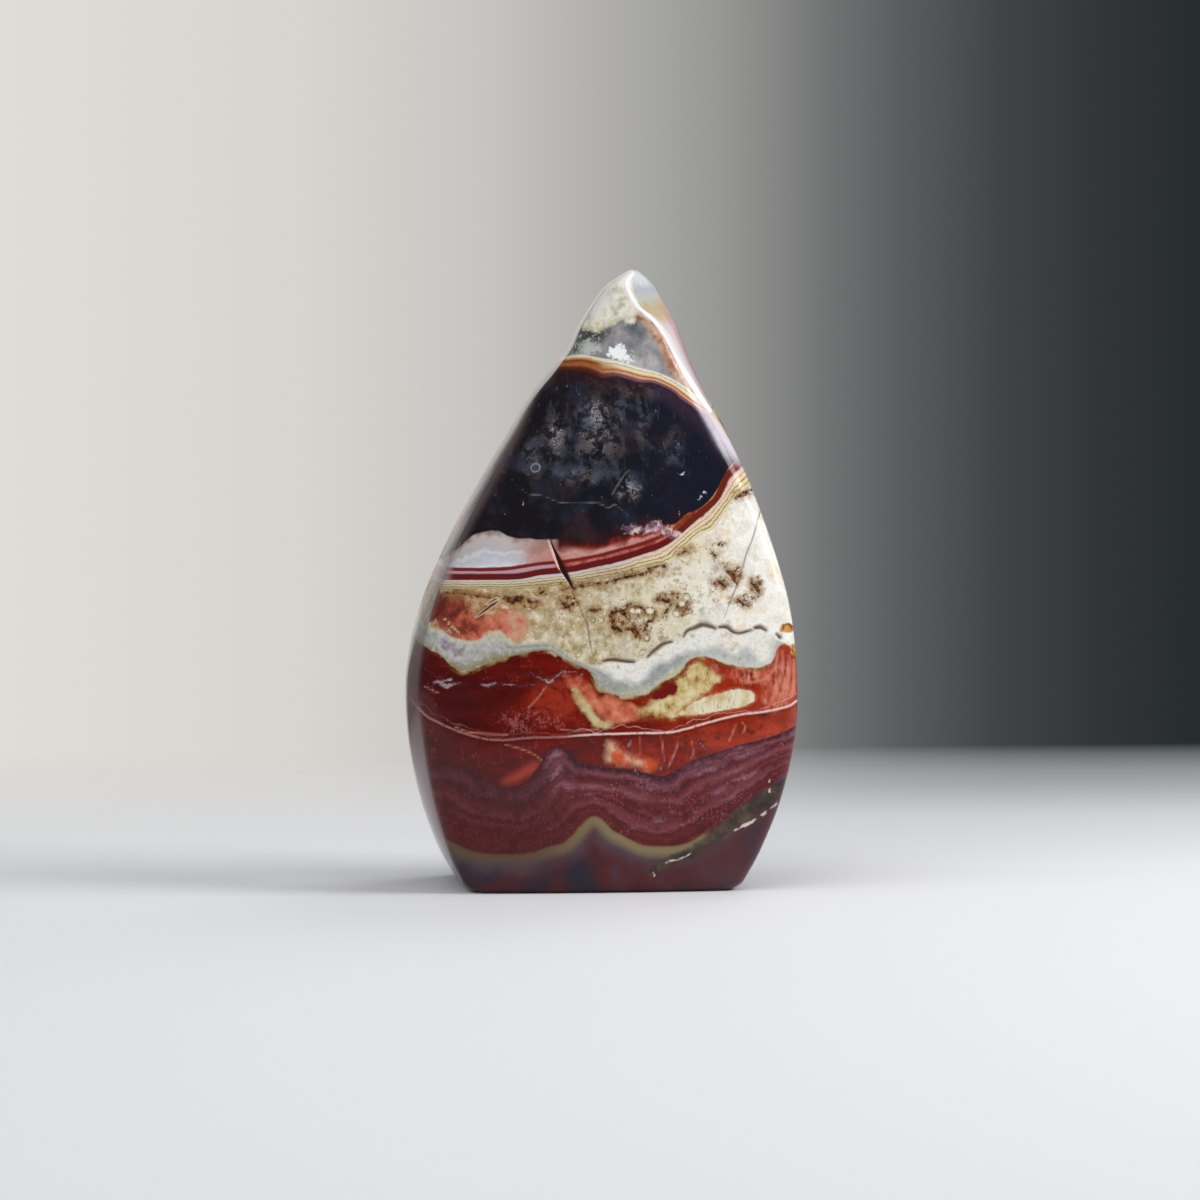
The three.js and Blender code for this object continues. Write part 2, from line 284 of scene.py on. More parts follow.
# Where one layer ends and the next begins: lines drawn across the front as (across, up) in millimetres
layerLines = {
    "mossLine": [
        (-5.4, 69.4), (-3.1, 72.3), (-1.6, 72.5), (-0.3, 72.2), (1.2, 72.8), (2.3, 73.3), (3.9, 73.3),
        (4.9, 74.0), (5.7, 73.8), (9.0, 72.3),
    ],
    "stackTop": [
        (-7.4, 68.4), (-5.0, 68.8), (-2.8, 69.1), (-0.3, 68.7), (2.3, 68.2), (4.9, 67.4), (7.5, 66.7),
        (10.1, 65.4), (12.7, 63.5), (14.0, 62.9), (16.5, 60.9), (19.0, 58.0),
    ],
    "blackTop": [
        (-8.0, 67.0), (-5.8, 66.9), (-2.8, 66.7), (-1.3, 66.3), (-0.3, 65.8), (1.7, 66.0), (3.0, 65.8),
        (4.9, 65.3), (6.8, 65.2), (8.8, 64.3), (10.1, 63.2), (11.4, 62.3), (12.7, 61.3), (14.0, 59.8),
        (15.2, 58.1), (16.5, 56.5), (17.4, 55.6), (19.1, 53.7),
    ],
    "blackFloor": [
        (-22.2, 41.8), (-19.4, 43.6), (-18.1, 44.5), (-17.1, 45.4), (-16.3, 45.9), (-13.8, 46.4),
        (-12.3, 45.7), (-11.2, 45.4), (-9.3, 45.3), (-5.7, 45.2), (-4.4, 45.4), (-0.9, 44.8), (2.3, 45.7),
        (4.9, 46.3), (7.5, 47.0), (9.4, 47.2), (10.7, 48.4), (12.7, 49.3), (14.2, 50.7), (15.0, 51.9),
        (16.0, 53.9), (17.4, 55.5), (19.1, 57.3),
    ],
    "firstRedLine": [
        (-22.2, 41.4), (-19.6, 41.4), (-13.2, 41.4), (-10.6, 41.7), (-8.0, 42.1), (-4.1, 42.5),
        (-0.3, 43.2), (2.3, 43.9), (4.9, 44.6), (7.5, 45.6), (10.1, 47.2), (13.0, 50.0),
    ],
    "thickRedLine": [
        (-22.2, 40.4), (-13.2, 40.4), (-10.6, 40.5), (-8.0, 41.0), (-4.1, 41.4), (-0.3, 42.2), (2.3, 42.8),
        (4.9, 43.6), (7.5, 44.5), (9.0, 45.4), (11.4, 47.5), (12.7, 48.6), (14.0, 49.7), (14.9, 50.7),
        (15.5, 51.9), (16.1, 53.3), (16.9, 54.2), (17.8, 55.1), (19.4, 56.5),
    ],
    "laceEdge": [
        (-22.2, 38.7), (-19.6, 38.8), (-13.2, 38.8), (-8.0, 39.0), (-4.1, 39.5), (-0.3, 40.1), (2.3, 40.5),
        (4.9, 41.3), (8.8, 42.2), (10.1, 43.6), (11.4, 44.8), (12.7, 45.8), (14.6, 46.8), (15.9, 48.8),
        (17.2, 50.5), (19.1, 52.1), (21.1, 54.2),
    ],
    "waveTop": [
        (-26.1, 34.6), (-23.5, 34.2), (-20.9, 33.5), (-19.4, 32.6), (-17.7, 32.2), (-16.0, 32.2),
        (-14.5, 33.1), (-13.2, 33.5), (-11.6, 32.0), (-9.9, 31.8), (-8.0, 32.1), (-6.1, 31.6), (-3.5, 29.7),
        (-0.9, 28.9), (1.0, 29.4), (4.3, 29.4), (6.2, 30.3), (9.0, 31.9), (10.6, 32.8), (12.0, 33.8),
        (14.0, 34.0), (16.1, 33.8), (17.8, 33.1), (19.8, 33.7), (21.1, 33.4), (23.0, 32.2), (25.6, 30.9),
    ],
    "waveFloor": [
        (-26.1, 32.2), (-23.5, 31.6), (-22.2, 30.9), (-20.9, 30.3), (-19.6, 29.0), (-18.0, 28.0),
        (-15.8, 28.6), (-13.2, 29.7), (-10.6, 30.3), (-8.7, 30.7), (-6.7, 30.7), (-4.8, 29.7), (-3.1, 28.9),
        (-1.6, 28.1), (-0.3, 25.8), (1.7, 25.1), (3.9, 24.9), (5.6, 25.1), (6.8, 26.0), (8.5, 27.1),
        (10.1, 28.1), (11.4, 29.7), (13.3, 30.0), (15.0, 29.5), (16.5, 29.0), (18.5, 28.6), (20.4, 28.6),
        (22.0, 29.4), (23.0, 31.6), (25.6, 30.9),
    ],
    "crustFloor": [
        (-1.6, 28.9), (0.0, 28.6), (0.8, 28.1), (1.8, 27.3), (3.4, 27.1), (4.9, 26.8), (5.9, 28.1),
        (6.8, 29.4), (8.5, 29.7), (10.1, 30.7), (11.6, 30.9), (13.3, 31.2), (15.0, 31.5), (16.3, 30.9),
        (17.3, 30.6), (18.5, 31.3), (19.4, 30.9), (20.4, 29.7), (21.4, 29.7), (22.2, 33.0),
    ],
    "mainVein": [
        (-24.8, 24.5), (-22.5, 22.3), (-20.9, 21.5), (-19.0, 20.6), (-15.8, 19.6), (-13.2, 19.3),
        (-9.3, 19.6), (-5.4, 19.7), (-1.6, 20.0), (1.0, 20.1), (4.9, 20.2), (8.8, 20.3), (10.7, 20.7),
        (12.7, 21.3), (16.5, 22.3), (18.5, 22.7), (20.4, 22.9), (23.0, 23.4), (24.3, 23.8), (25.6, 24.7),
    ],
    "jasperFloor": [
        (-24.8, 16.5), (-22.2, 16.0), (-19.6, 16.0), (-17.7, 15.7), (-16.4, 15.2), (-15.1, 14.1),
        (-13.6, 13.5), (-11.9, 13.2), (-9.9, 13.9), (-8.7, 15.2), (-7.8, 16.5), (-6.7, 18.0), (-5.7, 18.3),
        (-4.4, 17.8), (-2.8, 16.5), (-0.9, 16.0), (1.7, 15.7), (4.3, 15.4), (6.2, 14.9), (8.1, 14.7),
        (10.1, 15.7), (12.7, 17.1), (15.2, 17.8), (17.8, 18.7), (20.4, 19.3), (23.0, 20.2), (25.6, 21.5),
    ],
    "oliveLine": [
        (-22.2, 6.7), (-20.3, 6.1), (-18.3, 5.1), (-15.8, 4.3), (-13.2, 4.1), (-9.3, 4.3), (-6.7, 5.1),
        (-4.8, 5.6), (-3.5, 6.7), (-2.2, 8.2), (-1.2, 9.0), (-0.3, 8.7), (1.0, 7.4), (3.6, 6.0), (5.6, 5.2),
        (8.1, 5.1), (10.7, 5.4), (12.7, 6.4), (14.6, 7.8), (17.2, 10.0), (20.4, 12.2), (23.6, 14.8),
    ],
}

# Lines and cracks of their own width, as (across, up, half width) in millimetres
strokes = {
    "openCrack": [
        [(-6.75, 45.4, 0.04), (-6.3, 44.3, 0.12), (-5.8, 43.2, 0.22), (-5.35, 42.2, 0.33),
         (-5.0, 41.4, 0.37), (-4.6, 40.6, 0.3), (-4.2, 39.9, 0.22), (-3.75, 38.95, 0.1)],
    ],
    "crackWall": [
        [(-7.0, 45.2, 0.06), (-6.65, 44.3, 0.14), (-6.25, 43.2, 0.17), (-5.85, 42.2, 0.14),
         (-5.55, 41.4, 0.08)],
    ],
    "thinCrack": [
        [(-4.0, 38.8, 0.13), (-3.2, 37.0, 0.12), (-2.5, 35.5, 0.12), (-1.9, 34.2, 0.21), (-1.6, 32.2, 0.13),
         (-1.2, 30.2, 0.1)],
        [(20.5, 48.8, 0.09), (20.0, 47.1, 0.12), (19.4, 45.2, 0.12), (18.6, 43.2, 0.12), (18.0, 41.0, 0.1),
         (17.2, 38.7, 0.12), (16.4, 36.8, 0.09), (15.8, 35.1, 0.06)],
    ],
    "crustCrack": [
        [(0.1, 29.5, 0.1), (1.3, 29.7, 0.21), (3.0, 29.5, 0.22), (4.1, 29.4, 0.16)],
        [(5.9, 30.0, 0.12), (6.8, 30.9, 0.21), (7.9, 31.7, 0.22), (9.0, 32.0, 0.13)],
        [(10.5, 32.6, 0.1), (11.0, 33.4, 0.19), (12.0, 33.8, 0.25), (13.0, 34.2, 0.26), (14.0, 34.0, 0.25),
         (14.7, 33.7, 0.13)],
        [(15.2, 33.9, 0.17), (16.1, 33.9, 0.23), (16.8, 33.4, 0.21), (17.6, 33.1, 0.16), (18.6, 33.3, 0.17),
         (19.3, 33.5, 0.1)],
        [(19.8, 33.8, 0.21), (20.5, 33.9, 0.26), (21.2, 33.5, 0.16)],
        [(22.6, 33.0, 0.13), (23.0, 32.6, 0.23)],
    ],
    "hairline": [
        [(-12.8, 54.1, 0.05), (-12.1, 53.4, 0.09), (-11.5, 52.8, 0.06), (-10.6, 52.0, 0.09),
         (-9.7, 51.2, 0.06), (-8.5, 51.0, 0.1), (-7.4, 50.8, 0.06), (-5.7, 50.1, 0.1), (-3.5, 49.9, 0.06),
         (-0.5, 49.9, 0.09), (0.8, 49.3, 0.05), (1.7, 49.7, 0.08), (3.4, 48.3, 0.05)],
        [(1.3, 51.0, 0.05), (2.1, 52.4, 0.08), (3.0, 53.7, 0.05), (3.6, 54.2, 0.04)],
    ],
    "whiteVein": [
        [(-22.1, 26.6, 0.08), (-20.9, 26.9, 0.18), (-19.4, 27.1, 0.1)],
        [(-20.8, 26.7, 0.21), (-20.0, 26.2, 0.26), (-19.0, 26.6, 0.1), (-17.1, 26.6, 0.06)],
        [(-15.8, 26.6, 0.12), (-14.7, 26.4, 0.23), (-13.7, 26.7, 0.1)],
        [(-12.8, 26.6, 0.06), (-10.9, 26.3, 0.12), (-9.0, 26.4, 0.09), (-8.0, 26.2, 0.05)],
        [(-10.9, 27.5, 0.05), (-9.3, 27.7, 0.08), (-7.9, 27.3, 0.16), (-7.0, 26.9, 0.23),
         (-6.5, 26.9, 0.21), (-5.9, 27.6, 0.16), (-5.2, 28.0, 0.1), (-3.5, 28.1, 0.09), (-2.5, 27.8, 0.05)],
        [(3.7, 19.3, 0.06), (3.5, 18.7, 0.21), (3.4, 18.2, 0.08)],
        [(4.1, 16.1, 0.08), (4.3, 15.3, 0.19), (4.9, 14.8, 0.08)],
        [(7.5, 16.1, 0.08), (7.6, 15.4, 0.16), (8.0, 14.7, 0.05)],
        [(11.9, 19.7, 0.06), (12.7, 18.9, 0.13), (13.6, 18.0, 0.08)],
    ],
    "pinkVein": [
        [(-23.0, 26.3, 0.05), (-22.0, 25.8, 0.09), (-20.9, 25.3, 0.04)],
        [(-7.2, 26.3, 0.04), (-8.0, 25.1, 0.06), (-8.9, 24.1, 0.06), (-9.6, 23.4, 0.04)],
        [(-19.0, 21.0, 0.05), (-17.1, 20.3, 0.08), (-14.5, 20.1, 0.09), (-12.1, 20.0, 0.05)],
        [(-12.5, 18.7, 0.04), (-10.6, 18.2, 0.06), (-8.9, 17.5, 0.06), (-7.8, 16.7, 0.05)],
        [(-5.4, 20.7, 0.04), (-3.5, 20.5, 0.06), (-1.6, 20.6, 0.06), (-0.3, 20.7, 0.04)],
        [(4.9, 19.7, 0.04), (5.0, 18.3, 0.06), (4.9, 17.0, 0.04)],
        [(7.6, 20.0, 0.04), (7.9, 18.0, 0.08), (8.0, 16.5, 0.04)],
        [(9.9, 19.1, 0.04), (9.3, 17.4, 0.08), (8.5, 15.7, 0.05)],
        [(11.6, 19.1, 0.05), (11.8, 17.8, 0.08), (11.5, 16.9, 0.04)],
        [(17.3, 21.4, 0.05), (16.9, 20.3, 0.08), (16.4, 19.1, 0.05)],
        [(18.1, 21.6, 0.05), (18.5, 20.9, 0.1), (18.1, 20.1, 0.04)],
        [(22.7, 31.6, 0.08), (22.6, 29.7, 0.16), (22.0, 28.1, 0.1), (20.7, 27.1, 0.13), (19.1, 26.8, 0.1),
         (18.1, 27.3, 0.05)],
        [(23.4, 30.9, 0.08), (23.4, 28.6, 0.13), (22.9, 26.4, 0.1), (22.0, 24.5, 0.08), (21.3, 23.2, 0.05)],
        [(24.2, 30.3, 0.08), (24.2, 27.7, 0.14), (23.8, 25.5, 0.12), (23.1, 23.7, 0.06)],
        [(18.2, 29.4, 0.05), (18.3, 28.1, 0.1), (18.9, 26.9, 0.06)],
        [(22.4, 25.8, 0.05), (21.7, 24.2, 0.09), (21.1, 22.9, 0.04)],
        [(24.8, 29.7, 0.1), (24.8, 27.1, 0.18), (24.4, 24.7, 0.1)],
    ],
    "edgeSpeck": [
        [(8.0, 3.3, 0.05), (8.8, 3.7, 0.1), (9.8, 3.9, 0.1), (10.9, 4.3, 0.06), (11.6, 4.8, 0.04)],
        [(17.1, 7.6, 0.13), (17.4, 7.7, 0.16)],
        [(18.0, 8.1, 0.18), (18.9, 8.5, 0.21)],
        [(19.3, 8.7, 0.12), (20.0, 9.2, 0.14)],
        [(20.7, 9.6, 0.16), (21.1, 9.9, 0.16)],
        [(21.7, 10.4, 0.06), (22.5, 11.0, 0.12), (22.6, 11.4, 0.06)],
        [(21.6, 14.3, 0.09), (21.6, 13.8, 0.12)],
        [(21.6, 13.1, 0.17), (21.7, 12.6, 0.18)],
        [(6.6, 2.3, 0.13), (6.8, 1.7, 0.12)],
    ],
    "greenStreak": [
        [(6.2, 2.1, 0.26), (8.1, 3.3, 0.45), (11.4, 4.8, 0.52), (14.6, 6.7, 0.65), (17.2, 8.7, 0.9),
         (19.4, 10.3, 1.03), (21.4, 11.8, 1.03), (23.5, 13.4, 0.78)],
    ],
    "brownMark": [
        [(1.3, 34.6, 0.19), (1.3, 35.5, 0.34), (2.1, 36.0, 0.34), (3.0, 35.5, 0.26), (3.5, 34.9, 0.13)],
        [(1.3, 34.6, 0.19), (1.6, 33.8, 0.31), (2.3, 33.5, 0.21)],
        [(3.2, 33.7, 0.18), (4.1, 33.5, 0.34), (4.5, 32.9, 0.34), (4.9, 32.5, 0.13)],
        [(5.4, 33.5, 0.1), (5.7, 34.3, 0.13), (5.9, 33.0, 0.08)],
        [(3.2, 36.2, 0.12), (3.5, 36.8, 0.16), (4.1, 36.6, 0.13), (5.0, 36.4, 0.16), (5.6, 35.9, 0.1)],
        [(6.5, 35.2, 0.1), (6.8, 35.9, 0.16), (6.5, 34.8, 0.13), (5.9, 34.6, 0.1)],
        [(8.0, 35.6, 0.09), (8.5, 36.2, 0.19), (9.0, 36.9, 0.13)],
        [(7.2, 37.4, 0.08), (8.0, 37.4, 0.21), (8.8, 37.1, 0.12)],
        [(-5.4, 37.3, 0.1), (-4.7, 36.6, 0.26), (-4.1, 36.1, 0.12)],
        [(-9.7, 37.4, 0.13), (-8.9, 37.0, 0.21), (-8.1, 37.3, 0.1)],
        [(-1.8, 36.1, 0.1), (-1.0, 36.0, 0.23), (-0.3, 36.1, 0.1)],
        [(9.6, 36.6, 0.09), (10.6, 36.0, 0.13), (11.1, 36.8, 0.09)],
        [(15.2, 39.6, 0.19), (15.8, 39.2, 0.23)],
        [(16.3, 41.0, 0.19), (16.9, 40.4, 0.32), (17.3, 39.6, 0.21)],
        [(19.3, 39.7, 0.18), (19.9, 39.0, 0.28), (20.3, 38.3, 0.13)],
        [(17.7, 37.3, 0.16), (18.3, 36.9, 0.28), (18.9, 36.6, 0.13)],
        [(-20.3, 38.4, 0.06), (-18.1, 38.2, 0.1), (-15.8, 37.9, 0.09), (-14.5, 37.7, 0.12)],
        [(-12.4, 37.7, 0.26), (-11.6, 37.4, 0.47), (-10.9, 37.5, 0.47), (-10.2, 37.7, 0.21)],
        [(-8.0, 38.2, 0.12), (-7.5, 38.6, 0.13)],
        [(-5.0, 38.8, 0.08), (-3.7, 39.0, 0.17), (-2.2, 39.3, 0.13), (-0.3, 39.6, 0.17)],
        [(0.4, 39.6, 0.1), (2.3, 40.1, 0.18), (3.9, 40.5, 0.13), (5.3, 40.8, 0.16)],
        [(6.2, 41.5, 0.1), (7.2, 41.8, 0.16), (8.1, 41.8, 0.09)],
        [(9.9, 43.3, 0.09), (10.9, 43.7, 0.14)],
        [(17.4, 50.6, 0.1), (18.5, 51.2, 0.21), (19.4, 51.7, 0.13)],
        [(-15.9, 35.7, 0.08), (-14.9, 36.5, 0.13), (-13.8, 37.0, 0.09)],
    ],
    "paleStreak": [
        [(-16.3, 35.2, 0.03), (-15.2, 36.0, 0.12), (-14.1, 36.8, 0.14), (-13.3, 37.3, 0.03)],
        [(-14.9, 36.9, 0.03), (-14.0, 37.4, 0.08), (-13.3, 37.7, 0.03)],
        [(-20.6, 35.2, 0.03), (-19.5, 34.1, 0.07), (-18.4, 33.1, 0.03)],
    ],
    "tipStripe": [
        [(4.9, 73.8, 0.3), (6.4, 72.6, 0.6), (7.6, 70.9, 0.5), (8.8, 68.6, 0.8), (10.2, 66.6, 0.7),
         (11.6, 64.9, 0.6), (12.8, 63.4, 0.3)],
    ],
    # a painted highlight: a near-white line along the tip's right ridge, standing in for the glare of the lamps
    "paintedRidgeHighlight": [
        [(4.2, 79.6, 0.16), (3.4, 78.9, 0.2), (3.3, 77.9, 0.2), (3.9, 76.4, 0.18), (4.6, 75.3, 0.2),
         (5.7, 74.4, 0.22), (6.9, 73.4, 0.24), (8.3, 71.6, 0.34), (9.8, 69.0, 0.5), (11.2, 66.4, 0.55),
         (12.8, 63.8, 0.45), (14.0, 61.9, 0.25)],
    ],
    # a painted glare: a lilac-white reflection on the rounded right edge beside the dark nodule
    "paintedGlare": [
        [(12.2, 63.6, 0.2), (13.8, 61.6, 0.6), (15.1, 59.8, 1.0), (16.2, 58.0, 1.1), (17.1, 56.4, 0.8),
         (17.9, 55.2, 0.3)],
    ],
    "goldEdge": [[(13.6, 62.9, 0.3), (14.8, 61.4, 0.45), (15.7, 60.0, 0.4), (16.3, 58.6, 0.25)]],
    "edgeLine": [
        [(-21.3, 38.9, 0.05), (-21.1, 40.1, 0.1), (-20.5, 41.5, 0.11), (-19.5, 43.2, 0.1),
         (-18.4, 44.8, 0.07)],
    ],
}

# Round spots as (across, up, half width, half height) in millimetres
spots = {
    "quartz": [
        (10.5, 39.2, 0.39, 0.39), (10.3, 36.9, 0.39, 0.39), (9.6, 35.6, 0.44, 0.39),
        (6.2, 36.0, 0.47, 0.39), (3.9, 36.0, 0.34, 0.31), (4.7, 36.0, 0.28, 0.31), (5.7, 34.9, 0.26, 0.26),
        (6.1, 33.8, 0.21, 0.31), (5.8, 32.4, 0.21, 0.26), (10.9, 37.7, 0.31, 0.39),
        (-0.1, 34.8, 0.31, 0.28), (0.3, 37.3, 0.21, 0.21), (-1.2, 34.8, 0.18, 0.18),
        (14.7, 37.4, 0.21, 0.21), (11.4, 35.9, 0.21, 0.18), (8.1, 35.1, 0.16, 0.16),
    ],
    "amber": [(23.9, 33.8, 0.9, 0.58), (24.8, 30.9, 0.45, 0.65)],
    "whiteBit": [
        (-8.7, 56.0, 0.16, 0.13), (12.5, 50.3, 0.2, 0.15), (12.8, 50.75, 0.13, 0.2),
        (13.25, 51.35, 0.22, 0.15), (13.55, 50.9, 0.1, 0.12), (13.0, 51.2, 0.1, 0.09),
        (10.3, 53.6, 0.26, 0.14), (10.6, 53.9, 0.1, 0.1), (-10.2, 49.9, 0.1, 0.4), (9.9, 57.6, 0.12, 0.1),
        (10.4, 58.0, 0.1, 0.1), (9.2, 57.1, 0.1, 0.08), (10.0, 48.7, 0.07, 0.3),
    ],
    "wisp": [
        (-1.0, 61.0, 2.2, 2.4), (-0.6, 57.2, 2.6, 2.2), (1.8, 60.2, 0.9, 3.4), (5.0, 59.6, 0.7, 2.0),
        (-5.8, 58.6, 1.6, 2.6), (3.2, 64.6, 2.6, 0.9), (-2.6, 53.4, 3.0, 0.9), (3.2, 52.0, 1.5, 1.6),
        (9.3, 57.2, 0.9, 1.3), (-8.8, 55.4, 1.1, 2.2),
    ],
    "swirl": [(-0.6, 61.3, 1.2, 1.3), (-0.9, 58.6, 1.6, 0.7), (3.4, 51.5, 1.3, 1.1), (-5.9, 58.6, 0.8, 1.4)],
    "ring": [(-8.6, 54.5, 0.62, 0.62)],
    "knot": [(4.2, 46.5, 1.4, 0.5), (6.7, 46.8, 1.1, 0.9), (8.3, 46.3, 0.8, 0.6), (9.6, 45.8, 1.0, 0.4)],
    "whiteBlotch": [(2.0, 69.3, 1.2, 1.0), (3.1, 68.8, 0.8, 0.6)],
    "bloom": [(-2.2, 70.3, 1.7, 1.1), (-3.6, 69.6, 1.0, 0.6)],
    "lilac": [(-18.9, 30.9, 2.2, 1.2), (-14.8, 31.8, 1.4, 0.5), (-20.6, 32.2, 0.8, 1.0)],
    "tanWindow": [(-15.0, 36.6, 2.3, 1.1), (-16.6, 37.4, 1.2, 0.6)],
    "mossCluster": [
        (2.4, 34.3, 1.5, 1.4), (4.4, 35.6, 1.1, 0.6), (4.4, 33.7, 1.1, 1.0), (7.8, 37.7, 1.0, 0.5),
        (9.4, 38.0, 1.1, 0.6), (10.5, 36.2, 1.0, 1.0), (15.5, 39.7, 1.2, 1.0), (17.4, 41.0, 0.8, 1.0),
        (19.8, 39.1, 1.0, 1.1), (18.3, 37.4, 1.4, 0.6), (-11.5, 37.4, 1.3, 0.6), (-9.3, 36.8, 1.1, 0.9),
        (-7.9, 38.4, 0.7, 0.5), (-4.3, 37.1, 1.3, 0.9), (4.9, 40.9, 2.8, 0.4), (-2.8, 39.3, 2.4, 0.3),
        (10.9, 43.8, 0.9, 0.5), (14.4, 43.2, 0.5, 0.9), (15.2, 44.6, 0.7, 0.5), (15.4, 42.0, 0.9, 0.5),
        (18.4, 51.1, 1.0, 0.4), (-14.9, 37.9, 2.4, 0.25),
    ],
    "mauveGlow": [
        (-6.0, 16.0, 1.4, 3.2), (-4.4, 13.2, 1.0, 1.6), (13.5, 15.4, 3.0, 0.9), (18.6, 17.6, 3.2, 0.9),
        (5.5, 12.9, 3.6, 0.9), (15.6, 12.6, 2.6, 1.1), (18.2, 14.6, 2.4, 1.3), (-1.0, 12.9, 2.2, 0.9),
        (6.8, 8.4, 2.4, 0.7),
    ],
    "tipVeil": [(-0.6, 76.0, 1.7, 2.6), (1.6, 78.4, 1.6, 1.0)],
    "blush": [(22.8, 26.4, 2.2, 3.4), (18.6, 27.6, 2.2, 1.0), (14.0, 27.9, 1.0, 0.9)],
    "redGlow": [(-6.2, 24.6, 3.4, 2.6)],
    "glow": [
        (-7.4, 23.9, 4.6, 2.6), (-3.0, 22.0, 3.0, 1.4), (6.0, 18.0, 3.0, 1.0), (3.0, 16.4, 1.6, 1.0),
        (7.2, 15.6, 1.2, 0.7), (13.0, 19.6, 3.0, 0.9), (17.0, 20.6, 2.6, 0.9),
    ],
    "druse": [(-11.2, 22.0, 1.9, 1.1), (-8.8, 22.6, 1.2, 0.8), (-6.6, 21.7, 2.2, 0.7), (-10.6, 20.6, 1.2, 0.5)],
}

# Closed patches, as outlines of (across, up) in millimetres
patches = {
    "salmonPatch": [
        (-22.9, 37.9), (-20.9, 38.4), (-17.7, 38.2), (-14.5, 37.7), (-13.2, 36.6), (-11.6, 35.9),
        (-10.1, 34.6), (-9.8, 33.0), (-10.9, 31.8), (-12.1, 32.1), (-13.4, 33.3), (-14.7, 33.0),
        (-16.3, 32.2), (-18.1, 32.2), (-19.6, 33.2), (-20.9, 34.3), (-22.5, 35.0),
    ],
    "peachPatch": [
        (-5.4, 28.2), (-3.9, 27.8), (-2.2, 27.2), (-1.0, 26.0), (-0.3, 24.9), (0.8, 25.3), (2.4, 24.7),
        (4.0, 24.0), (5.0, 23.4), (4.9, 22.1), (3.6, 21.5), (2.0, 21.3), (0.6, 21.6), (-0.4, 22.4),
        (-1.9, 23.7), (-3.2, 25.0), (-4.7, 26.6),
    ],
    "yellowPatch": [
        (4.6, 23.1), (6.8, 24.5), (9.0, 26.0), (10.1, 27.6), (11.4, 28.8), (12.4, 29.5), (14.1, 28.6),
        (15.1, 27.2), (14.1, 26.2), (13.0, 24.7), (11.6, 23.0), (9.4, 22.3), (7.2, 22.4), (5.2, 22.5),
    ],
    "paleYellow": [
        (9.8, 22.6), (11.0, 23.6), (12.6, 24.6), (15.4, 25.5), (18.2, 25.9), (19.6, 25.2), (19.6, 24.2),
        (17.6, 23.5), (14.6, 23.0), (12.2, 22.5),
    ],
    "yellowRibbon": [
        (-3.9, 26.3), (-2.5, 24.9), (-1.2, 23.3), (-0.2, 21.9), (1.2, 21.3), (0.6, 20.9), (-0.9, 21.2),
        (-2.2, 22.8), (-3.3, 24.6),
    ],
    "orangeSpot": [
        (0.8, 19.1), (2.1, 18.8), (2.8, 17.9), (4.1, 17.4), (5.7, 17.1), (7.0, 16.6), (7.1, 15.6),
        (5.9, 15.2), (4.9, 15.6), (3.6, 16.1), (1.6, 16.2), (0.5, 17.0),
    ],
    "salmonWedge": [
        (-13.2, 13.9), (-12.1, 14.9), (-10.6, 15.7), (-9.3, 16.6), (-8.3, 16.7), (-7.8, 16.2), (-8.3, 15.3),
        (-9.6, 14.4), (-11.1, 13.6), (-12.4, 13.5),
    ],
    "redSpot": [
        (6.5, 24.7), (6.8, 25.5), (8.0, 26.0), (9.0, 26.8), (9.8, 26.3), (9.6, 25.4), (8.5, 24.9),
        (7.5, 24.5),
    ],
}

# How deep the markings of the front reach into the stone, and how finely their edges are followed
markingReach = {
    "depth": 3.0,             # millimetres behind the front face where spots and strokes fade out
    "far": 4.0,               # millimetres, the largest distance kept
    "patchFade": 0.7,         # how fast patches fade out, against 1 for spots and strokes
    "side": 30,               # millimetres that a layer line runs to each side
    "stride": 0.25,           # millimetres between the points of a layer line
    "window": 15,             # points searched on each side of a place
}


def segmentDistance(px, pz, a, b):
    # distance from each place to one straight piece, and how far along it the nearest point lies
    ax, az = a[0], a[1]
    wayX, wayZ = b[0] - ax, b[1] - az
    length = wayX * wayX + wayZ * wayZ + 1e-12
    t = np.clip(((px - ax) * wayX + (pz - az) * wayZ) / length, 0, 1)
    return np.hypot(px - ax - wayX * t, pz - az - wayZ * t), t


def layerDistance(knots, across, up):
    # signed distance to a layer line, above it positive
    side, stride, window = markingReach["side"], markingReach["stride"], markingReach["window"]
    xs = np.arange(-side, side + stride / 2, stride)
    zs = alongKnots(knots, xs)
    at = np.clip(((across + side) / stride).astype(int), 0, len(xs) - 2)
    best = np.full(len(across), np.inf)
    for shift in range(-window, window + 1):
        i = np.clip(at + shift, 0, len(xs) - 2)
        found, _ = segmentDistance(across, up, (xs[i], zs[i]), (xs[i + 1], zs[i + 1]))
        best = np.minimum(best, found)
    return best * np.sign(up - alongKnots(knots, across))


def smoothThrough(points, closed=False, parts=4):
    # more points on a smooth line through the given ones, their widths included
    points = np.array(points, float)
    count = len(points)
    order = np.arange(count if closed else count - 1)
    pick = (lambda i: points[i % count]) if closed else (lambda i: points[np.clip(i, 0, count - 1)])
    p0, p1, p2, p3 = pick(order - 1), pick(order), pick(order + 1), pick(order + 2)
    made = []
    for k in range(parts):
        t = k / parts
        made.append(0.5 * (
            2 * p1 + (p2 - p0) * t + (2 * p0 - 5 * p1 + 4 * p2 - p3) * t ** 2
            + (3 * p1 - p0 - 3 * p2 + p3) * t ** 3
        ))
    line = np.stack(made, 1).reshape(-1, points.shape[1])
    return line if closed else np.vstack([line, points[-1:]])


def nearby(line, across, up):
    reach = markingReach["far"]
    low, high = line[:, :2].min(0) - reach, line[:, :2].max(0) + reach
    return (across > low[0]) & (across < high[0]) & (up > low[1]) & (up < high[1])


